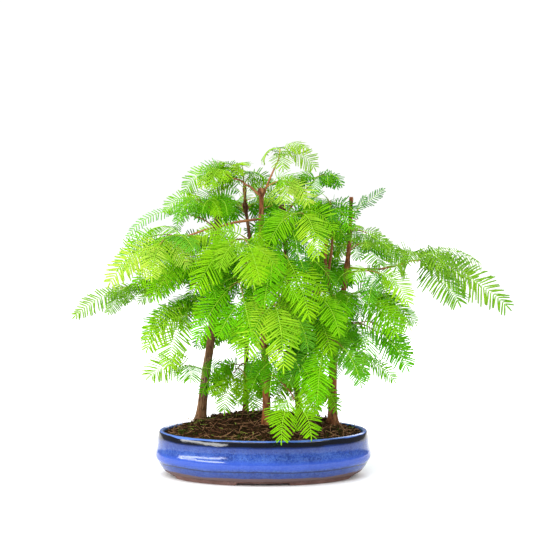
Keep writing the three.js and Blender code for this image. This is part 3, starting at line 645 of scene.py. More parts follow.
def direction(heading, elevation):
    """A direction from its heading, anticlockwise from +X, and its angle above level, in degrees."""
    turn, climb = np.broadcast_arrays(np.radians(heading), np.radians(elevation))
    return np.stack([np.cos(turn) * np.cos(climb), np.sin(turn) * np.cos(climb), np.sin(climb)], -1)


def heading_of(tangent):
    return math.degrees(math.atan2(tangent[1], tangent[0])), math.degrees(math.asin(tangent[2]))


def list_sprays(count, spray_length, fall, facing, curve, deal):
    """The sprays on a stem: one at its tip, the others at alternate sides back along it, or all round a
    steep stem."""
    first_side = -1 if deal(0, 1) < 0.5 else 1
    spacing = (FIRST_SPRAY - LAST_SPRAY) / max(1, count - 2)
    sprays = []
    for k in range(count):
        side = 0 if k == 0 else first_side * (1 if k % 2 == 0 else -1)
        u = 1 - TIP_ROOT_DEPTH / curve.length if k == 0 else FIRST_SPRAY - spacing * (k - 1)
        turn, climb = heading_of(curve.tangent(u))
        sideways = side * (SPRAY_FAN + deal(-SPRAY_FAN_SPREAD, SPRAY_FAN_SPREAD))
        fan = k * ROUND_STEM if climb > STEEP_STEM else sideways
        steepness = climb + deal(-ANGLE_SPREAD, ANGLE_SPREAD)
        steepest = START_ON_STEEP_STEM if climb > STEEP_STEM else STEEPEST_START
        sprays.append(dict(
            base=curve.at(u),
            heading=turn + fan,
            rise=min(steepest, max(-STEEPEST_START, steepness)),
            fall=fall + deal(-ANGLE_SPREAD, ANGLE_SPREAD),
            length=spray_length * (SIDE_SPRAY_SHARE if side else 1) + deal(-LENGTH_SPREAD, LENGTH_SPREAD),
            tilt=FACE_TILT + deal(-FACE_SPREAD, FACE_SPREAD),
            facing=facing,
        ))
    return sprays


def needle_lengths(shares, length):
    """Needle length along a spray: short at the root, full in the middle and narrowing to the tip."""
    past_middle = np.maximum(0, (shares - NARROWS_FROM) / (1 - NARROWS_FROM))
    narrowed = 1 - NARROWS_BY * past_middle**NARROWING_EASE
    widened = np.minimum(1, ROOT_NEEDLE_SHARE + WIDENING * shares)
    return NEEDLE_LENGTH * math.sqrt(min(1, length / FULL_SPRAY_LENGTH)) * widened * narrowed


class Crown:
    """Collects the stems, ribs and needles of every mass."""

    def __init__(self, limbs):
        self.limbs = limbs
        self.stems = Bundle()
        self.ribs = Bundle()
        self.needles = {name: [] for name in NEEDLE_COLOURS}
        self.nodes = {name: set() for name in NEEDLE_COLOURS}
        places, radii = [], []
        for limb in limbs.values():
            if isinstance(limb, Trunk):
                heights = np.arange(limb.ground, limb.top + 1, LIMB_STEP)
                places.append(limb.centre(heights))
                radii.append(limb.radius(heights))
            else:
                curve, ends = limb
                shares = np.linspace(0, 1, max(2, int(curve.length / LIMB_STEP)))
                places.append(curve.at(shares))
                radii.append(lerp(*ends, shares))
        self.limb_places = np.concatenate(places)
        self.limb_radii = np.concatenate(radii)

    def blocked(self, points, margin=LIMB_MARGIN):
        """Which points lie in a limb, in the soil or in the pot."""
        x, y, z = points.T
        reach = self.limb_radii + margin
        taken = np.zeros(len(points), bool)
        for start in range(0, len(points), POINTS_AT_ONCE):
            part = slice(start, start + POINTS_AT_ONCE)
            apart = points[part, None, :] - self.limb_places[None]
            taken[part] = ((apart**2).sum(-1) < reach**2).any(1)
        in_pot = in_oval(x, y, RIDGE_HALF_LENGTH + POT_MARGIN) & (z < RIM_TOP + RIM_MARGIN)
        over_soil = in_oval(x, y, INNER_WALL - WALL_MARGIN) & (z > soil_height(x, y) + SOIL_MARGIN)
        return taken | (in_pot & ~over_soil)

    def add_spray(self, spray, colour, node, deal):
        """Adds a rib with its two rows of needles, unless too much of it would lie in other pieces."""
        coarse = min(COARSEST, max(FINEST, spray["length"] / EVEN_LENGTH))
        count = max(4, round((spray["length"] - BARE_FOOT) / (NEEDLE_SPACING * coarse)))
        step = (spray["length"] - BARE_FOOT) / count
        shares = (np.arange(count) + 0.5) / count
        elevation = lerp(spray["rise"], -spray["fall"], shares**BEND_EASE)
        along = direction(spray["heading"] + spray["curl"] * shares**2, elevation)
        first = direction(spray["heading"], spray["rise"])
        foot = spray["base"] - ROOT_DEPTH * first
        start = foot + BARE_FOOT * first
        rib = np.concatenate([[start], start + np.cumsum(along, 0) * step])
        tilt = math.radians(spray["tilt"])
        face = np.array([0, spray["facing"] * math.sin(tilt), math.cos(tilt)])
        side = unit(np.cross(face, along))
        normal = np.cross(along, side)
        line = np.concatenate([[foot], [foot + BARE_FOOT * first / 2], rib, rib[-1:] + along[-1:] * 2])
        if self.blocked(line[3:], RIB_MARGIN).mean() > MOST_BLOCKED:
            return
        keep = np.unique(np.concatenate([np.arange(0, len(line), 2), [len(line) - 1]]))
        self.ribs.add(*closed_tube(line[keep], np.linspace(*RIB_RADII, len(keep)), 4))
        middles = (rib[:-1] + rib[1:]) / 2
        lengths = needle_lengths(shares, spray["length"]) * spray["needles"] * coarse**COARSE_GROWTH
        half_width = NEEDLE_HALF_WIDTH * coarse * min(1, spray["needles"] + 0.2)
        dealer = np.random.RandomState(int(deal(0, 1) * 2**31))
        for hand in (1, -1):
            sweep = lerp(SWEEP_AT_ROOT, SWEEP_AT_TIP, shares)
            sweep = np.radians(sweep + dealer.uniform(-SWEEP_SPREAD, SWEEP_SPREAD, count))
            droop = NEEDLE_DROOP + spray["droop"] + dealer.uniform(-DROOP_SPREAD, DROOP_SPREAD, count)
            roots = middles + along * dealer.uniform(-ROOT_SPREAD, ROOT_SPREAD, count)[:, None]
            aim = along * np.cos(sweep)[:, None] + side * hand * np.sin(sweep)[:, None]
            reach = lengths * dealer.uniform(*NEEDLE_REACH, count)
            self.needles[colour].append(np.column_stack(
                [roots, aim, np.cross(normal, aim), normal, reach, droop, np.full(count, half_width)]))
        self.needles[colour].append(np.column_stack(
            [rib[-1:], along[-1:], side[-1:], normal[-1:], [lengths[-1] * END_NEEDLE_SHARE], [NEEDLE_DROOP],
             [half_width]]))
        self.nodes[colour].add(node)

    def add_mass(self, index, name):
        on, at, end, arch, main, length, fall, tone, needles, twigs, finer = MASSES[name]
        facing = -1 if end[1] < CROWN_MIDDLE_Y else 1
        curve = bowed(start_on(self.limbs[on], at), end, UP * arch)
        deal = make_dealer(SEED_STEP * (index + 1))
        fine = make_dealer(SEED_STEP * (index + 1) + RULE_ADDEND)
        sprays = list_sprays(main, length, fall, facing, curve, deal)
        shares = np.linspace(0, 1, max(6, int(curve.length / 5)))
        wander = 0.5 * np.sin(shares * math.pi * 3 + index)[:, None] * np.sin(shares * math.pi)[:, None]
        line = curve.at(shares) + wander * STEM_WANDER
        self.stems.add(*closed_tube(line, lerp(*STEM_RADII, shares), 7, 0.08, index))
        for k in range(finer):
            u = lerp(*FINER_SPAN, (k + fine(*FINER_JITTER)) / finer)
            turn, climb = heading_of(curve.tangent(u))
            hand = 1 if k % 2 else -1
            inner = u < INNER_REACH
            heading = turn + hand * fine(*(INNER_FAN if inner else FINER_FAN))
            by = {key: fine(*limits) for key, limits in FINER_RANGES.items()}
            rise = min(STEEPEST_FINER, max(-STEEPEST_FINER, climb + by["climb"]))
            sprays.append(dict(
                base=curve.at(u), heading=heading, rise=rise, fall=fall + by["fall"],
                length=length * by["length"], tilt=FACE_TILT + by["tilt"], facing=facing, curl=by["curl"],
                inner=inner))
        for k in range(twigs):
            u = lerp(*TWIG_SPAN, (k + fine(*TWIG_JITTER)) / twigs)
            turn, climb = heading_of(curve.tangent(u))
            hand = 1 if (k + index) % 2 else -1
            heading = turn + hand * fine(*TWIG_FAN)
            twig_length = fine(*TWIG_LENGTH) * length
            start = curve.at(u)
            bend = start + direction(heading, climb + fine(*TWIG_RISE)) * twig_length / 2
            tip = start + direction(heading, climb + fine(*TWIG_DIP)) * twig_length
            twig = Curve(start, bend, tip)
            steps = np.linspace(0, 1, 7)
            self.stems.add(*closed_tube(twig.at(steps), lerp(*TWIG_RADII, steps), 5, 0.06, index + k))
            for spray in list_sprays(TWIG_SPRAYS, length * TWIG_SPRAY_SHARE, fall, facing, twig, fine):
                spray["curl"] = fine(*TWIG_CURL)
                spray["inner"] = u < INNER_REACH
                sprays.append(spray)
        for spray in sprays:
            if "curl" not in spray:
                spray["curl"] = fine(*MAIN_CURL)
            spray["needles"] = needles
            spray["droop"] = fine(*EXTRA_DROOP)
            # sprays near the trunk take the darker inner tones: painted shade
            tones = TONES[INNER_SHADE_TONES[tone] if spray.get("inner") else tone]
            choice = tones[int(fine(0, len(tones) - 1e-6))]
            self.add_spray(spray, choice, name, fine)
        self.stems.nodes.add(name)
        self.ribs.nodes.add(name)

    def add_snags(self):
        """Short dead twigs on the bare parts of the trunks."""
        for number, (trunk, height, heading, climb, length) in enumerate(SNAGS):
            start = self.limbs[trunk].centre(height)
            tip = start + direction(heading, climb) * length
            steps = np.linspace(0, 1, 6)
            line = bowed(start, tip, UP * (SNAG_BOW * length)).at(steps)
            self.stems.add(*closed_tube(line, lerp(*SNAG_RADII, steps), 5, 0.1, number))

    def add_needles(self):
        """Makes the needles of each colour, without those that would lie in a limb, soil or pot."""
        for colour, rows in self.needles.items():
            rows = np.concatenate(rows)
            middles, tips = (rows[:, :3] + rows[:, 3:6] * rows[:, 12:13] * share for share in (0.5, 1))
            rows = rows[~(self.blocked(tips) | self.blocked(middles))]
            material = leaf_material(f"leaf_{colour}", NEEDLE_COLOURS[colour])
            make_piece(f"needles_{colour}", *needle_mesh(rows), material, "foliage", self.nodes[colour])


def needle_mesh(rows):
    """Closed slim needles: three rings of three points between a root point and a tip point."""
    root, aim, across, normal = (rows[:, k:k + 3] for k in (0, 3, 6, 9))
    length, droop, half_width = rows[:, 12:13], rows[:, 13:14], rows[:, 14:15]

    def centre_at(t):
        return root + aim * length * t - normal * length * droop * t**NEEDLE_BEND_EASE * NEEDLE_BEND

    points = [root]
    for t, width in NEEDLE_RINGS:
        centre = centre_at(t)
        half = across * half_width * width
        points += [centre - half, centre + half, centre + normal * NEEDLE_THICKNESS * width]
    points.append(centre_at(1.0))
    pattern = [(0, 2, 1), (0, 3, 2), (0, 1, 3)]
    for ring in (1, 4):
        for k in range(3):
            a, b = ring + k, ring + (k + 1) % 3
            pattern += [(a, b, b + 3), (a, b + 3, a + 3)]
    pattern += [(7, 8, 10), (8, 9, 10), (9, 7, 10)]
    faces = np.array(pattern) + (np.arange(len(rows)) * NEEDLE_CORNERS)[:, None, None]
    return np.stack(points, 1).reshape(-1, 3), faces.reshape(-1, 3)


def oval_rows(profile, segments):
    """Rows of points round the oval, one for each (half length, height) pair."""
    angles = circle(segments)
    half_lengths, heights = (np.array(profile, dtype=float)[:, k, None] for k in (0, 1))
    x = half_lengths * np.cos(angles)
    y = oval_half_width(half_lengths) * np.sin(angles)
    return np.stack([x, y, np.broadcast_to(heights, x.shape)], -1)


def smoothed(profile):
    """A profile with points in between on a smooth curve through the given ones."""
    points = np.array(profile, dtype=float)
    last = len(points) - 1
    made = []
    for k in range(last):
        start, end = points[k], points[k + 1]
        leap = np.linalg.norm(end - start)
        leans = [leap * unit(points[min(last, j + 1)] - points[max(0, j - 1)]) for j in (k, k + 1)]
        steps = PROFILE_STEPS if leap <= STRAIGHT_STEP else 1
        made += [between(t, start, end, *leans) for t in np.arange(steps) / steps]
    return [*made, points[-1]]


def fractal(points, scale, seed, octaves=3):
    """Fractal noise at each point, from about -1 to 1."""
    shift = Vector((seed, seed * 1.7, -seed))
    return np.array([noise.fractal(Vector(point) * scale + shift, 0.8, 2.1, octaves) for point in points])


class Nodes:
    """The nodes of a material or of the surroundings."""

    def __init__(self, owner):
        owner.use_nodes = True
        self.tree = owner.node_tree

    def feed(self, socket, value):
        """Links an output to a socket, or sets the socket to a number or colour."""
        if isinstance(value, bpy.types.NodeSocket):
            self.tree.links.new(value, socket)
        elif socket.type == "RGBA":
            socket.default_value = (*value, 1)
        else:
            socket.default_value = value

    def add(self, kind, output, **inputs):
        """Adds a node, feeds its named inputs and gives one of its outputs."""
        node = self.tree.nodes.new(f"ShaderNode{kind}")
        for name, value in inputs.items():
            self.feed(node.inputs[name], value)
        return node.outputs[output]


class Look(Nodes):
    """A node material that is built up step by step."""

    def __init__(self, name, roughness=0.5, specular=0.5):
        self.material = bpy.data.materials.new(name)
        super().__init__(self.material)
        self.tree.nodes.clear()
        self.output = self.tree.nodes.new("ShaderNodeOutputMaterial")
        self.shader = self.tree.nodes.new("ShaderNodeBsdfPrincipled")
        self.feed(self.output.inputs["Surface"], self.shader.outputs["BSDF"])
        self.feed(self.shader.inputs["Roughness"], roughness)
        self.feed(self.shader.inputs["Specular IOR Level"], specular)

    def place(self, stretch=(1, 1, 1), shift=(0, 0, 0)):
        coordinates = self.add("TexCoord", "Object")
        return self.add("Mapping", "Vector", Vector=coordinates, Scale=stretch, Location=shift)

    def noise(self, scale, detail, roughness=0.55, distortion=0.0, stretch=(1, 1, 1)):
        return self.add("TexNoise", "Fac", Vector=self.place(stretch), Scale=scale, Detail=detail,
                        Roughness=roughness, Distortion=distortion)

    def ramp(self, factor, *stops):
        """A ramp through colours, or greys given as one number, at their positions."""
        stops = [(at, (*colour, 1) if isinstance(colour, tuple) else (colour,) * 3 + (1,))
                 for at, colour in stops]
        node = self.tree.nodes.new("ShaderNodeValToRGB")
        elements = node.color_ramp.elements
        for element, (at, colour) in zip((elements[0], elements[-1]), (stops[0], stops[-1])):
            element.position, element.color = at, colour
        for at, colour in stops[1:-1]:
            elements.new(at).color = colour
        self.feed(node.inputs["Fac"], factor)
        return node.outputs["Color"]

    def mix(self, factor, first, second):
        node = self.tree.nodes.new("ShaderNodeMix")
        node.data_type = "RGBA"
        for number, value in ((0, factor), (6, first), (7, second)):
            self.feed(node.inputs[number], value)
        return node.outputs[2]

    def tint(self, base, colour, factor, *stops):
        """The base with a colour laid over it as strongly as the ramp says."""
        return self.mix(self.ramp(factor, *stops), base, colour)

    def bump(self, height, strength, distance, **onto):
        return self.add("Bump", "Normal", Height=height, Strength=strength, Distance=distance, **onto)

    def calculate(self, operation, first, second):
        node = self.tree.nodes.new("ShaderNodeMath")
        node.operation = operation
        self.feed(node.inputs[0], first)
        self.feed(node.inputs[1], second)
        return node.outputs["Value"]

    def finish(self, colour, normal=None):
        self.feed(self.shader.inputs["Base Color"], colour)
        if normal is not None:
            self.feed(self.shader.inputs["Normal"], normal)
        return self.material


def toned(colour, factor):
    return tuple(np.minimum(1, np.array(colour) * factor).tolist())


def glaze_material():
    """Blue glaze: light on the lip, painted light on the shaded inner wall, a very dark painted reflection
    under the lip, painted shade low on the wall and bright on the ridge.
    """
    look = Look("glaze")
    blue = look.ramp(look.noise(42, 5, 0.6, 0.4), *zip((0.3, 0.5, 0.7), GLAZE_BLUES))
    fine = look.noise(420, 4, 0.7)
    mottled = look.tint(blue, GLAZE_MOTTLE, fine, (0.42, 0), (0.62, 0.6))
    colour = look.tint(mottled, GLAZE_SPECK, look.noise(950, 2, 0.5), (0.34, 0.8), (0.43, 0))
    x, y, z = (look.add("SeparateXYZ", axis, Vector=look.place(shift=tuple(-MIDDLE))) for axis in "XYZ")
    squares = []
    for place, size in zip((x, y), GLAZE_PAINTED_LIGHT_INSIDE):
        share = look.calculate("DIVIDE", place, size / 1000)
        squares.append(look.calculate("MULTIPLY", share, share))
    reach = look.calculate("ADD", *squares)
    uneven = look.calculate("SUBTRACT", look.noise(26, 2), 0.5)
    height = look.calculate("ADD", z, look.calculate("MULTIPLY", uneven, 0.005))
    share = look.calculate("DIVIDE", height, RIM_TOP / 1000)
    for band, stops in GLAZE_BANDS.values():
        colour = look.tint(colour, band, share, *stops)
    above = look.ramp(share, (0.26, 0), (0.28, 1))
    # painted light: the inner wall above the soil, which lies in shade, is given the light lip colour
    inside = look.calculate("MULTIPLY", look.ramp(reach, (0.955, 1), (0.965, 0)), above)
    lipped = look.tint(colour, GLAZE_LIGHT, share, (0.968, 0), (0.978, 1))
    look.feed(look.shader.inputs["Roughness"], look.ramp(share, (0.17, 0.7), (0.195, 0.1)))
    look.feed(look.shader.inputs["IOR"], 1.45)
    waves = look.bump(look.noise(30, 2), 0.25, 0.004)
    return look.finish(look.mix(inside, lipped, GLAZE_LIGHT), look.bump(fine, 0.08, 0.0006, Normal=waves))


def clay_material():
    look = Look("clay", 0.82)
    grain = look.noise(700, 5, 0.65)
    warm = look.ramp(look.noise(60, 3), *zip((0.3, 0.7), CLAY_COLOURS))
    colour = look.tint(warm, CLAY_GRAIN, grain, (0.4, 0.5), (0.6, 0))
    return look.finish(colour, look.bump(grain, 0.35, 0.0005))


def soil_material(name, dark, light, scale=260):
    look = Look(name, 0.93, 0.05)
    grain = look.noise(scale, 6, 0.7)
    base = look.ramp(grain, (0.32, dark), (0.68, light))
    colour = look.tint(base, toned(dark, 0.45), look.noise(55, 3), (0.35, 0.55), (0.6, 0))
    return look.finish(colour, look.bump(grain, 0.7, 0.0015))


def bark_material(name, dark, middle, light, warm):
    look = Look(name, 0.86, 0.2)
    fissure = look.noise(520, 5, 0.62, 0.6, BARK_STRETCH)
    plate = look.noise(190, 4, 0.6, 0.8, BARK_STRETCH)
    base = look.ramp(plate, (0.3, dark), (0.48, middle), (0.66, light))
    warmed = look.tint(base, warm, look.noise(38, 3), (0.4, 0), (0.65, 0.7))
    colour = look.tint(warmed, toned(dark, 0.35), fissure, (0.36, 0.85), (0.47, 0))
    ridge = look.bump(plate, 0.6, 0.0012)
    return look.finish(colour, look.bump(fissure, 0.8, 0.0009, Normal=ridge))


def twig_material(name, roughness=0.6):
    look = Look(name, roughness, 0.25)
    colour = look.ramp(look.noise(45, 3), *zip((0.35, 0.65), TWIG_COLOURS[name]))
    return look.finish(colour, look.bump(look.noise(900, 3), 0.3, 0.0003))


def leaf_material(name, colour, through=0.4):
    """Soft needles that let some light through, with a slight change of green from place to place."""
    look = Look(name, 0.55, 0.02)
    darker, lighter = toned(colour, DARKER_GREEN), toned(colour, LIGHTER_GREEN)
    base = look.ramp(look.noise(26, 2), (0.32, darker), (0.52, colour), (0.7, lighter))
    tinted = look.tint(base, darker, look.noise(520, 2), (0.4, 0.25), (0.6, 0))
    glow = look.add("BsdfTranslucent", "BSDF", Color=look.mix(0.35, tinted, lighter))
    blend = look.tree.nodes.new("ShaderNodeMixShader")
    for socket, value in zip(blend.inputs, (through, look.shader.outputs["BSDF"], glow)):
        look.feed(socket, value)
    look.feed(look.output.inputs["Surface"], blend.outputs["Shader"])
    return look.finish(tinted)


def make_pot():
    rows = oval_rows(smoothed(WALL_PROFILE), POT_SEGMENTS)
    make_piece("glazed_pot", *body_of_rows(rows), glaze_material(), "glaze", ["pot"])


def make_base():
    """The unglazed base, with a low foot ring that is cut away in four places."""
    inner, outer = BASE_HALF_LENGTH - FOOT_WIDTH, BASE_HALF_LENGTH
    profile = [(0, FOOT_HEIGHT), (inner - 0.6, FOOT_HEIGHT), (inner, FOOT_HEIGHT - 0.5), (inner + 0.3, 0.3),
               (inner + 0.9, 0), (outer - 1.6, 0), (outer - 0.5, 0.4), (outer, 1.4), (outer, GLAZE_BOTTOM),
               (0, GLAZE_BOTTOM)]
    rows = oval_rows(profile, 4 * POT_SEGMENTS)
    x, y, z = (rows[..., axis] for axis in range(3))
    edge = np.maximum(NOTCH_LENGTH / 2 - np.abs(x), NOTCH_WIDTH / 2 - np.abs(y))
    lifted = np.clip((edge + NOTCH_LEAD) / NOTCH_SLOPE, 0, 1) * FOOT_HEIGHT
    rows[..., 2] = np.where(z < FOOT_HEIGHT, np.maximum(z, lifted), z)
    make_piece("clay_base", *body_of_rows(rows), clay_material(), "clay", ["pot_base"], smooth=False)


def soil_surface(x, y):
    """Height of the crumbly surface."""
    points = np.stack([x, y, np.zeros_like(x)], -1)
    rough = sum(height * fractal(points, scale, seed) for height, scale, seed in SURFACE_ROUGHNESS)
    inside = np.clip(to_wall(x, y) / SMOOTH_EDGE_SHARE, 0, 1)
    return soil_height(x, y) + rough * inside - SURFACE_DROP


def spots(count, seed, reach=0.97, patch=None):
    """Random places on the soil, over a share of its width or round the middle of a patch, and the dealer
    that gave them."""
    dealer = np.random.RandomState(seed)
    wall = INNER_WALL - SPOT_MARGIN
    if patch is None:
        angle = dealer.uniform(0, 2 * math.pi, count)
        share = reach * np.sqrt(dealer.uniform(0, 1, count))
        x, y = share * wall * np.cos(angle), share * oval_half_width(wall) * np.sin(angle)
    else:
        x, y = dealer.normal(patch[0], patch[2], count), dealer.normal(patch[1], patch[3], count)
        inside = in_oval(x, y, wall, reach)
        x, y = x[inside], y[inside]
    return np.stack([x, y, soil_surface(x, y)], -1), dealer


def turned(points, angles):
    return points @ np.array(Euler(angles).to_matrix()).T


def make_soil_bed():
    wall = INNER_WALL - SOIL_GAP
    shares = np.concatenate([[0.0], np.linspace(0.015, 1, SOIL_RINGS)])[:, None]
    x = shares * wall * np.cos(circle(SOIL_SEGMENTS))
    y = shares * oval_half_width(wall) * np.sin(circle(SOIL_SEGMENTS))
    z = soil_surface(x.ravel(), y.ravel()).reshape(x.shape)
    z[0] = z[0].mean()
    top = np.stack([x, y, z], -1)[::-1]
    low = top[:1] * (1, 1, 0) + UP * SOIL_BOTTOM
    centre = top[:1] * 0 + UP * SOIL_BOTTOM
    make_piece("soil_bed", *body_of_rows(np.concatenate([centre, low, top])),
               soil_material("soil", *SOIL_COLOURS), "soil", ["soil"])


def make_litter():
    """Crumbs and bark chips: uneven octahedra that lie half sunk in the soil."""
    corners = np.array([(1, 0, 0), (-1, 0, 0), (0, 1, 0), (0, -1, 0), (0, 0, 1), (0, 0, -1)], float)
    faces = np.array([(0, 2, 4), (2, 1, 4), (1, 3, 4), (3, 0, 4), (2, 0, 5), (1, 2, 5), (3, 1, 5), (0, 3, 5)])
    for name, (count, seed, colours, sizes, long) in LITTER.items():
        bundle = Bundle()
        places, dealer = spots(count, seed)
        for place in places:
            size = lerp(*sizes, dealer.uniform() ** SMALLER_FAVOURED)
            angles = dealer.uniform(0, FULL_TURN, 3)
            uneven = corners * dealer.uniform(*CRUMB_UNEVENNESS, (len(corners), 1))
            shape = uneven * size * (1, CRUMB_FLATNESS, 1 / long)
            shape[:2] *= long**0.5
            bundle.add(turned(shape, angles) + place + UP * (CRUMB_LIFT * size), faces)
        bundle.piece(name, soil_material(name, *colours, scale=LITTER_GRAIN), "soil", smooth=False)


def make_fibres():
    """Thin root fibres that lie on the soil, some with one end in the air."""
    fibres = Bundle()
    places, dealer = spots(FIBRES, 13)
    t = np.linspace(0, 1, FIBRE_STEPS)[:, None]
    for place in places:
        heading, length = dealer.uniform(0, 360), dealer.uniform(*FIBRE_LENGTH)
        climb = dealer.uniform(*FIBRE_CLIMB) + FIBRE_UPTURN * dealer.uniform() ** 4
        bow = direction(heading + dealer.uniform(*FIBRE_TURN), 10)
        line = place + UP * 0.5 + direction(heading, climb) * length * t + bow * length * 0.5 * t * (1 - t)
        x, y = line[:, 0], line[:, 1]
        line[:, 2] = np.maximum(line[:, 2], soil_surface(x, y) + 0.25)
        if in_oval(x, y, INNER_WALL - FIBRE_MARGIN).all():
            fibres.add(*closed_tube(line, np.linspace(*FIBRE_RADII, FIBRE_STEPS), 3))
    fibres.piece("soil_fibres", twig_material("fibre", 0.8), "soil")


def make_moss():
    """Patches of moss, each of many small pointed tufts."""
    moss = Bundle()
    blade = np.array([(1, 0, 0), (-0.5, 0.87, 0), (-0.5, -0.87, 0), (0, 0, 1)])
    faces = np.array([(0, 2, 1), (0, 1, 3), (1, 2, 3), (2, 0, 3)])
    for number, (patch, count) in enumerate(MOSS_PATCHES):
        places, dealer = spots(count, 20 + number, 0.985, patch)
        for place in places:
            width, height = dealer.uniform(*TUFT_WIDTH), dealer.uniform(*TUFT_HEIGHT)
            lean = dealer.normal(0, TUFT_LEAN), dealer.normal(0, TUFT_LEAN)
            angles = (*lean, dealer.uniform(0, FULL_TURN))
            moss.add(turned(blade * (width, width, height), angles) + place - UP * 0.1, faces)
    moss.piece("moss_tufts", leaf_material("moss", MOSS_GREEN, 0.2), "foliage", smooth=False)


def make_fallen_needles():
    places, dealer = spots(FALLEN_NEEDLES, 15, 0.93)
    count = len(places)
    aim = direction(dealer.uniform(0, 360, count), dealer.uniform(*FALLEN_CLIMB, count))
    across = unit(np.cross(UP, aim))
    reach = dealer.uniform(*FALLEN_LENGTH, count)
    x, y = (places[:, axis] + aim[:, axis] * reach / 2 for axis in (0, 1))
    places[:, 2] = np.maximum(places[:, 2], soil_surface(x, y)) + FALLEN_LIFT
    droop_and_width = np.full((count, 2), (0.05, 0.75))
    rows = np.column_stack([places, aim, across, np.cross(aim, across), reach, droop_and_width])
    rows = rows[in_oval(x, y, INNER_WALL - FALLEN_MARGIN)]
    make_piece("fallen_needles", *needle_mesh(rows), leaf_material("fallen", FALLEN_GREEN, 0.3), "foliage")


def make_trunk(name, trunk):
    """A trunk with lobes at its flare, plates and fissures in its bark, and closed ends."""
    rings = int((trunk.top - trunk.ground) / TRUNK_RING_STEP)
    heights = np.concatenate([[trunk.ground] * 2, np.linspace(trunk.ground, trunk.top, rings), [trunk.top]])
    angles = circle(TRUNK_SIDES)
    centres = trunk.centre(heights)
    lobe = FLARE_LOBE_SHARE * np.cos(FLARE_LOBES * angles + trunk.line[0, 0]) * trunk.fade(heights)[:, None]
    radius = trunk.radius(heights)[:, None] * (1 + lobe)
    z = np.broadcast_to(heights[:, None], radius.shape)
    skin = np.stack([np.cos(angles) * radius, np.sin(angles) * radius, z * BARK_SQUEEZE], -1).reshape(-1, 3)
    relief = fractal(skin, RELIEF_SCALE, trunk.line[0, 0] * 0.3, 4).reshape(z.shape)
    plates = fractal(skin, PLATE_SCALE, trunk.line[0, 1] * 0.7).reshape(z.shape)
    fissures = -np.clip(FISSURE_WIDTH - np.abs(plates), 0, 1) * FISSURE_DEPTH
    size = 0.32 + 0.1 * radius / radius.max()
    grown = radius + size * (0.55 * relief + fissures - BARK_INSET)
    x, y = np.cos(angles) * grown + centres[:, :1], np.sin(angles) * grown + centres[:, 1:2]
    rows = np.stack([x, y, z], -1)
    for end in (0, -1):
        rows[end, :, :2] = centres[end, :2]
    rows[-1, :, 2] -= CUT_DIP
    bark = trunk.sizes["bark"]
    make_piece(f"{name}_bark", *body_of_rows(rows), barks[bark], "bark", [name])


def make_boughs(limbs):
    """The boughs, slightly wavy, with a swelling at each joint and a collar where they leave."""
    bark = twig_material("bough_bark")
    for name in BOUGHS:
        curve, radii = limbs[name]
        at = BOUGHS[name][1]
        shares = np.linspace(0, 1, max(8, int(curve.length / BOUGH_STEP)))
        sway = np.sin(shares * math.pi * 5 + at) * np.sin(shares * math.pi) * 0.5
        line = curve.at(shares) + sway[:, None] * BOUGH_WANDER
        along = shares * curve.length
        joints = JOINT_SHARE * np.exp(-((along % JOINT_SPACING - JOINT_SPACING / 2) / JOINT_SPREAD) ** 2)
        thick = lerp(*radii, shares) * (1 + joints) + COLLAR * np.exp(-along / COLLAR_REACH)
        make_piece(f"{name}_bark", *closed_tube(line, thick, 12, 0.07, 5), bark, "bark", [name])


def make_limbs():
    limbs = {name: Trunk(sizes) for name, sizes in TRUNKS.items()}
    for name, (carrier, at, tip, bow, radii) in BOUGHS.items():
        limbs[name] = bowed(start_on(limbs[carrier], at), tip, bow), radii
    return limbs


def hang_light(data, place, target, power):
    """Puts a light at a place, aimed at a target. Both are measured from the middle of the pot's foot."""
    data.energy = power
    light = add_object(data.name, data)
    light.location = Vector(MIDDLE) + Vector(place)
    light.rotation_euler = (Vector(target) - Vector(place)).to_track_quat("-Z", "Y").to_euler()


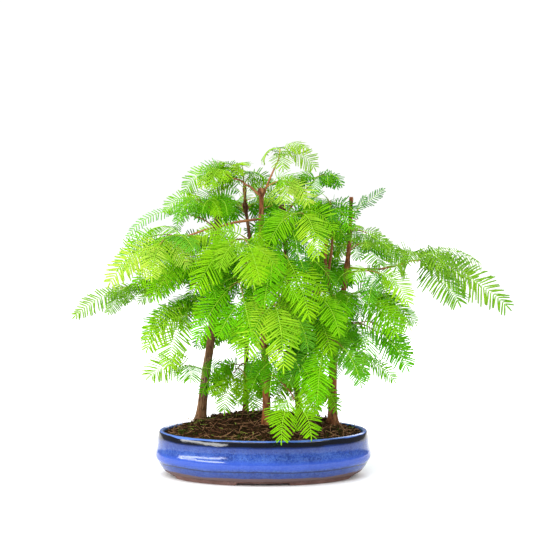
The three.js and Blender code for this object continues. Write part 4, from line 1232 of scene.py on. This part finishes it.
def make_world():
    """White surroundings with one strength for the camera, one for highlights and one for other light."""
    world = bpy.data.worlds.new("studio")
    bpy.context.scene.world = world
    nodes = Nodes(world)
    strength = AMBIENT_LIGHT
    for ray, level in (("Is Glossy Ray", GLOSS_LIGHT), ("Is Camera Ray", BACKDROP)):
        seen = nodes.add("LightPath", ray)
        strength = nodes.add("MapRange", "Result", **{"Value": seen, "To Min": strength, "To Max": level})
    background = nodes.tree.nodes["Background"]
    nodes.feed(background.inputs["Color"], (1, 1, 1))
    nodes.feed(background.inputs["Strength"], strength)


def make_studio():
    scene = bpy.context.scene
    scene.view_settings.view_transform = "Standard"
    data = bpy.data.cameras.new("camera")
    data.sensor_width = SENSOR_WIDTH
    data.lens = SENSOR_WIDTH * FOCUS / PICTURE_WIDTH
    data.clip_end = CAMERA_REACH
    scene.camera = add_object("camera", data)
    scene.camera.location = Vector(MIDDLE) + Vector(CAMERA_PLACE) / 1000
    scene.camera.rotation_euler = (math.radians(CAMERA_TILT), 0, 0)
    half = FLOOR_HALF_WIDTH
    mesh = bpy.data.meshes.new("floor")
    mesh.from_pydata([(-half, -half, 0), (half, -half, 0), (half, half, 0), (-half, half, 0)], [],
                     [(0, 1, 2, 3)])
    mesh.materials.append(Look("floor", 0.9).finish((1, 1, 1)))
    add_object("floor", mesh)
    make_world()
    sun = bpy.data.lights.new("sun", "SUN")
    sun.angle = math.radians(SUN_WIDTH)
    hang_light(sun, SUN_PLACE, (0, 0, 0), SUN_LIGHT)
    for name, (place, target, size, power) in AREA_LIGHTS.items():
        lamp = bpy.data.lights.new(name, "AREA")
        lamp.shape = "RECTANGLE"
        lamp.size, lamp.size_y = size
        hang_light(lamp, place, target, power)


make_studio()
limbs = make_limbs()
barks = {name: bark_material(name, *colours) for name, colours in BARKS.items()}
make_pot()
make_base()
make_soil_bed()
make_litter()
make_fibres()
make_moss()
make_fallen_needles()
for name in TRUNKS:
    make_trunk(name, limbs[name])
make_boughs(limbs)

crown = Crown(limbs)
for index, name in enumerate(MASSES):
    crown.add_mass(index, name)
crown.add_snags()
crown.stems.piece("twigs", twig_material("twig_bark"), "bark")
crown.ribs.piece("spray_ribs", twig_material("spray_rib"), "foliage")
crown.add_needles()
